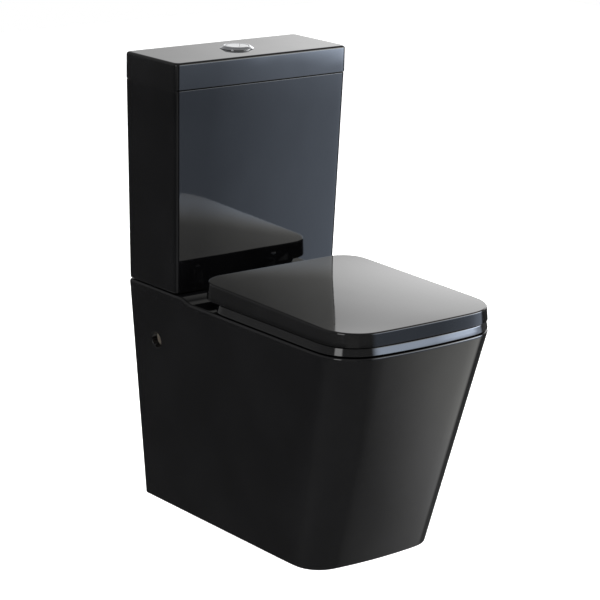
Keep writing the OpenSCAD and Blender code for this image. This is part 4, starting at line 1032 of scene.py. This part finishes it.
combine(bezel, turned("threaded_barrel", thread, ("chrome_trim", "white_plastic"), 96, on_valve, 1), "UNION")
web_z = lid_top - 17 * mm
web_plate = rod("barrel_web", (0, 0, web_z), (0, 0, web_z + 3 * mm), BUTTON_BORE + 0.5 * mm,
                ("chrome_trim", "white_plastic"), 1)
for x in (-8, 11):
    combine(web_plate, rod("rod_hole", (x * mm, 9 * mm, web_z - mm), (x * mm, 9 * mm, web_z + 5 * mm), 3 * mm,
                           ("chrome_trim", "white_plastic"), 1, 32))
web_plate.data.transform(on_valve)
combine(bezel, web_plate, "UNION")
finish_off(bezel, "cistern_lid", "chrome_trim", "button_bezel", crease=40)

# %% Full and half flush buttons
top = button_high.z
plate = 4 * mm
disc = [(0, top - 0.25 * mm), (8 * mm, top - 0.2 * mm), (16 * mm, top - 0.05 * mm)]
disc += corner((BUTTON_R - 0.9 * mm, top - 0.9 * mm), 0.9 * mm, 90, 0)
disc += [(BUTTON_R, top - plate - 4 * mm), (BUTTON_R - 1.6 * mm, top - plate - 4 * mm),
         (BUTTON_R - 1.6 * mm, top - plate),
         (0, top - plate)]
for name, node_name, low_x, high_x in (("full_flush_cap", "full_flush_button", SPLIT_OFFSET - SPLIT_GAP,
                                        40 * mm),
                                       ("half_flush_cap", "half_flush_button", -40 * mm,
                                        SPLIT_OFFSET + SPLIT_GAP)):
    cap = turned(name, disc, ("chrome_trim",), 128)
    combine(cap, block("saw", (low_x, -40 * mm, top - 30 * mm), (high_x, 40 * mm, top + 10 * mm),
                       ("chrome_trim",)))
    cap.data.transform(on_valve)
    finish_off(cap, node_name, "chrome_trim", node_name)

# %% [markdown]
# ## Floor and light
# The studio is white and even. Gloss black shows almost nothing of its own colour: what is seen
# is the reflection of the studio, so the light panels are placed for what each face should
# mirror. The panels glow only in reflections and don't show to the camera.

# %% Floor
FLOOR_HALF = 5.0
floor_mesh = bpy.data.meshes.new("studio_floor")
floor_mesh.from_pydata([(-FLOOR_HALF, -FLOOR_HALF, 0), (FLOOR_HALF, -FLOOR_HALF, 0),
                        (FLOOR_HALF, FLOOR_HALF, 0),
                        (-FLOOR_HALF, FLOOR_HALF, 0)], [], [(0, 1, 2, 3)])
floor = bpy.data.objects.new("studio_floor", floor_mesh)
bpy.context.scene.collection.objects.link(floor)
paper = bpy.data.materials.new("studio_paper")
paper.use_nodes = True
paper.node_tree.nodes["Principled BSDF"].inputs["Base Color"].default_value = (0.93, 0.93, 0.93, 1)
paper.node_tree.nodes["Principled BSDF"].inputs["Roughness"].default_value = 0.9
paper.node_tree.nodes["Principled BSDF"].inputs["Emission Color"].default_value = (1, 1, 1, 1)
paper.node_tree.nodes["Principled BSDF"].inputs["Emission Strength"].default_value = 0.9
floor_mesh.materials.append(paper)
floor.visible_glossy = False

# %% [markdown]
# ## Panels that only show in reflections
# A panel is a sheet that glows. It is brighter on one side than on the other and fades out
# softly towards its edges, as a lamp behind a diffusing cloth does. The camera can't see it, and it
# throws no light on matt surfaces, so it only shapes the reflections in the glaze.

# %% Reflection panels
def glow_material(name, width, height, across, rising, tint):
    glow = bpy.data.materials.new(name)
    glow.use_nodes = True
    tree = glow.node_tree
    tree.nodes.clear()
    place = add_node(tree, "ShaderNodeTexCoord")
    split = add_node(tree, "ShaderNodeSeparateXYZ")
    link(tree, place.outputs["Object"], split.inputs[0])
    strength = remap(tree, split.outputs["X"], *across)
    for step in rising:
        strength = arithmetic(tree, "MULTIPLY", strength, remap(tree, split.outputs["Y"], *step, smooth=True))
    from_side = arithmetic(tree, "ABSOLUTE", split.outputs["X"], 0.0)
    from_middle = arithmetic(tree, "ABSOLUTE", split.outputs["Y"], 0.0)
    fade = arithmetic(tree, "MULTIPLY", remap(tree, from_side, 1.0, 0.0, width * 0.28, width * 0.5,
                                              smooth=True),
                      remap(tree, from_middle, 1.0, 0.0, height * 0.28, height * 0.5, smooth=True))
    light = add_node(tree, "ShaderNodeEmission")
    link(tree, strength, light.inputs["Strength"])
    colour = add_node(tree, "ShaderNodeMix", data_type="RGBA")
    colour.inputs[6].default_value = (*tint, 1.0)
    colour.inputs[7].default_value = (1.0, 1.0, 0.97, 1.0)
    link(tree, remap(tree, split.outputs["Y"], 0.0, 1.0, 0.05, 0.35, smooth=True), colour.inputs[0])
    link(tree, colour.outputs[2], light.inputs["Color"])
    clear = add_node(tree, "ShaderNodeBsdfTransparent")
    blend = add_node(tree, "ShaderNodeMixShader")
    link(tree, fade, blend.inputs[0])
    link(tree, clear.outputs[0], blend.inputs[1])
    link(tree, light.outputs[0], blend.inputs[2])
    target = add_node(tree, "ShaderNodeOutputMaterial")
    link(tree, blend.outputs[0], target.inputs["Surface"])
    return glow


def reflection_panel(name, place, toward, width, height, across, rising=(), tint=(1.0, 1.0, 1.0)):
    corners = [(-width / 2, -height / 2, 0), (width / 2, -height / 2, 0), (width / 2, height / 2, 0),
               (-width / 2, height / 2, 0)]
    sheet = bpy.data.meshes.new(name)
    sheet.from_pydata(corners, [], [(0, 1, 2, 3)])
    panel = bpy.data.objects.new(name, sheet)
    facing = (Vector(toward) - Vector(place)).normalized()
    side = Vector((0, 0, 1)).cross(facing).normalized()
    frame_axes = Matrix((side, facing.cross(side), facing)).transposed().to_4x4()
    panel.matrix_world = Matrix.Translation(place) @ frame_axes
    sheet.materials.append(glow_material(name + "_glow", width, height, across, rising, tint))
    panel.visible_camera = False
    panel.visible_diffuse = False
    panel.visible_shadow = False
    panel.visible_transmission = False
    bpy.context.scene.collection.objects.link(panel)


COOL = (0.78, 0.90, 1.10)
reflection_panel("panel_front_right", (1.32, -1.51, 0.60), (0.08, 0.06, 0.60), 2.6, 3.2,
                 (1.9, 0.7, -0.28, 0.18),
                 ((1.0, 1.9, -0.36, -0.10), (1.0, 5.0, -0.16, 0.0), (1.0, 0.36, 0.05, 0.40)), COOL)
reflection_panel("panel_low_front", (1.28, -1.20, -1.18), (-0.07, -0.08, -1.18), 2.6, 2.2,
                 (1.35, 0.42, -0.50, 0.50),
                 ((0.42, 1.0, -0.30, 0.42),))
reflection_panel("panel_camera_left", (-3.29, -1.20, 1.15), (0.0, 0.0, 1.0), 1.5, 2.0, (4.0, 4.0, 0.0, 1.0))
reflection_panel("panel_behind_camera", (-2.9, -3.6, -0.9), (0.0, 0.0, -0.9), 3.4, 3.6, (0.3, 0.3, 0.0, 1.0))

# %% World and soft lamps
world = bpy.data.worlds.new("studio")
world.use_nodes = True
tree = world.node_tree
tree.nodes.clear()
way = add_node(tree, "ShaderNodeTexCoord")
split = add_node(tree, "ShaderNodeSeparateXYZ")
link(tree, way.outputs["Generated"], split.inputs[0])
room_glow = remap(tree, split.outputs["Z"], 0.10, 0.32, -0.22, -0.06, smooth=True)
floor_glow = remap(tree, split.outputs["Z"], 0.14, 0.0, -0.60, -0.42, smooth=True)


def along(direction):
    turned_way = add_node(tree, "ShaderNodeVectorMath", operation="DOT_PRODUCT")
    turned_way.inputs[1].default_value = direction
    link(tree, way.outputs["Generated"], turned_way.inputs[0])
    return turned_way.outputs["Value"]


window = remap(tree, along((0.785, -0.62, 0.0)), 0.57, 2.3, -0.10, 0.12, smooth=True)
window = arithmetic(tree, "MULTIPLY", window,
                    remap(tree, along((0.62, 0.785, 0.0)), 0.0, 1.0, 0.55, 0.85, smooth=True))
window = arithmetic(tree, "MULTIPLY", window,
                    remap(tree, split.outputs["Z"], 0.0, 1.0, -0.02, 0.12, smooth=True))
window = arithmetic(tree, "MULTIPLY", window,
                    remap(tree, split.outputs["Z"], 1.0, 0.25, 0.32, 0.48, smooth=True))
room = add_node(tree, "ShaderNodeBackground")
link(tree, arithmetic(tree, "ADD", arithmetic(tree, "ADD", room_glow, floor_glow), window),
     room.inputs["Strength"])
paper_white = add_node(tree, "ShaderNodeBackground")
paper_white.inputs["Strength"].default_value = 1.0
paper_white.inputs["Color"].default_value = (1, 1, 1, 1)
rays = add_node(tree, "ShaderNodeLightPath")
choose = add_node(tree, "ShaderNodeMixShader")
link(tree, rays.outputs["Is Camera Ray"], choose.inputs[0])
link(tree, room.outputs[0], choose.inputs[1])
link(tree, paper_white.outputs[0], choose.inputs[2])
target = add_node(tree, "ShaderNodeOutputWorld")
link(tree, choose.outputs[0], target.inputs["Surface"])
bpy.context.scene.world = world
bpy.context.scene.view_settings.view_transform = "Standard"


def soft_lamp(name, place, toward, width, power):
    lamp = bpy.data.lights.new(name, "AREA")
    lamp.shape = "DISK"
    lamp.size = width
    lamp.energy = power
    holder = bpy.data.objects.new(name, lamp)
    holder.location = place
    holder.rotation_euler = (Vector(toward) - Vector(place)).to_track_quat("-Z", "Y").to_euler()
    holder.visible_glossy = False
    bpy.context.scene.collection.objects.link(holder)


soft_lamp("lamp_above", (-0.8, -1.2, 3.4), (0, 0, 0.2), 3.4, 150)
soft_lamp("lamp_left", (-3.2, 0.4, 2.2), (0, 0, 0.3), 2.4, 50)
soft_lamp("lamp_right", (3.0, -1.0, 2.4), (0, 0, 0.3), 2.4, 60)
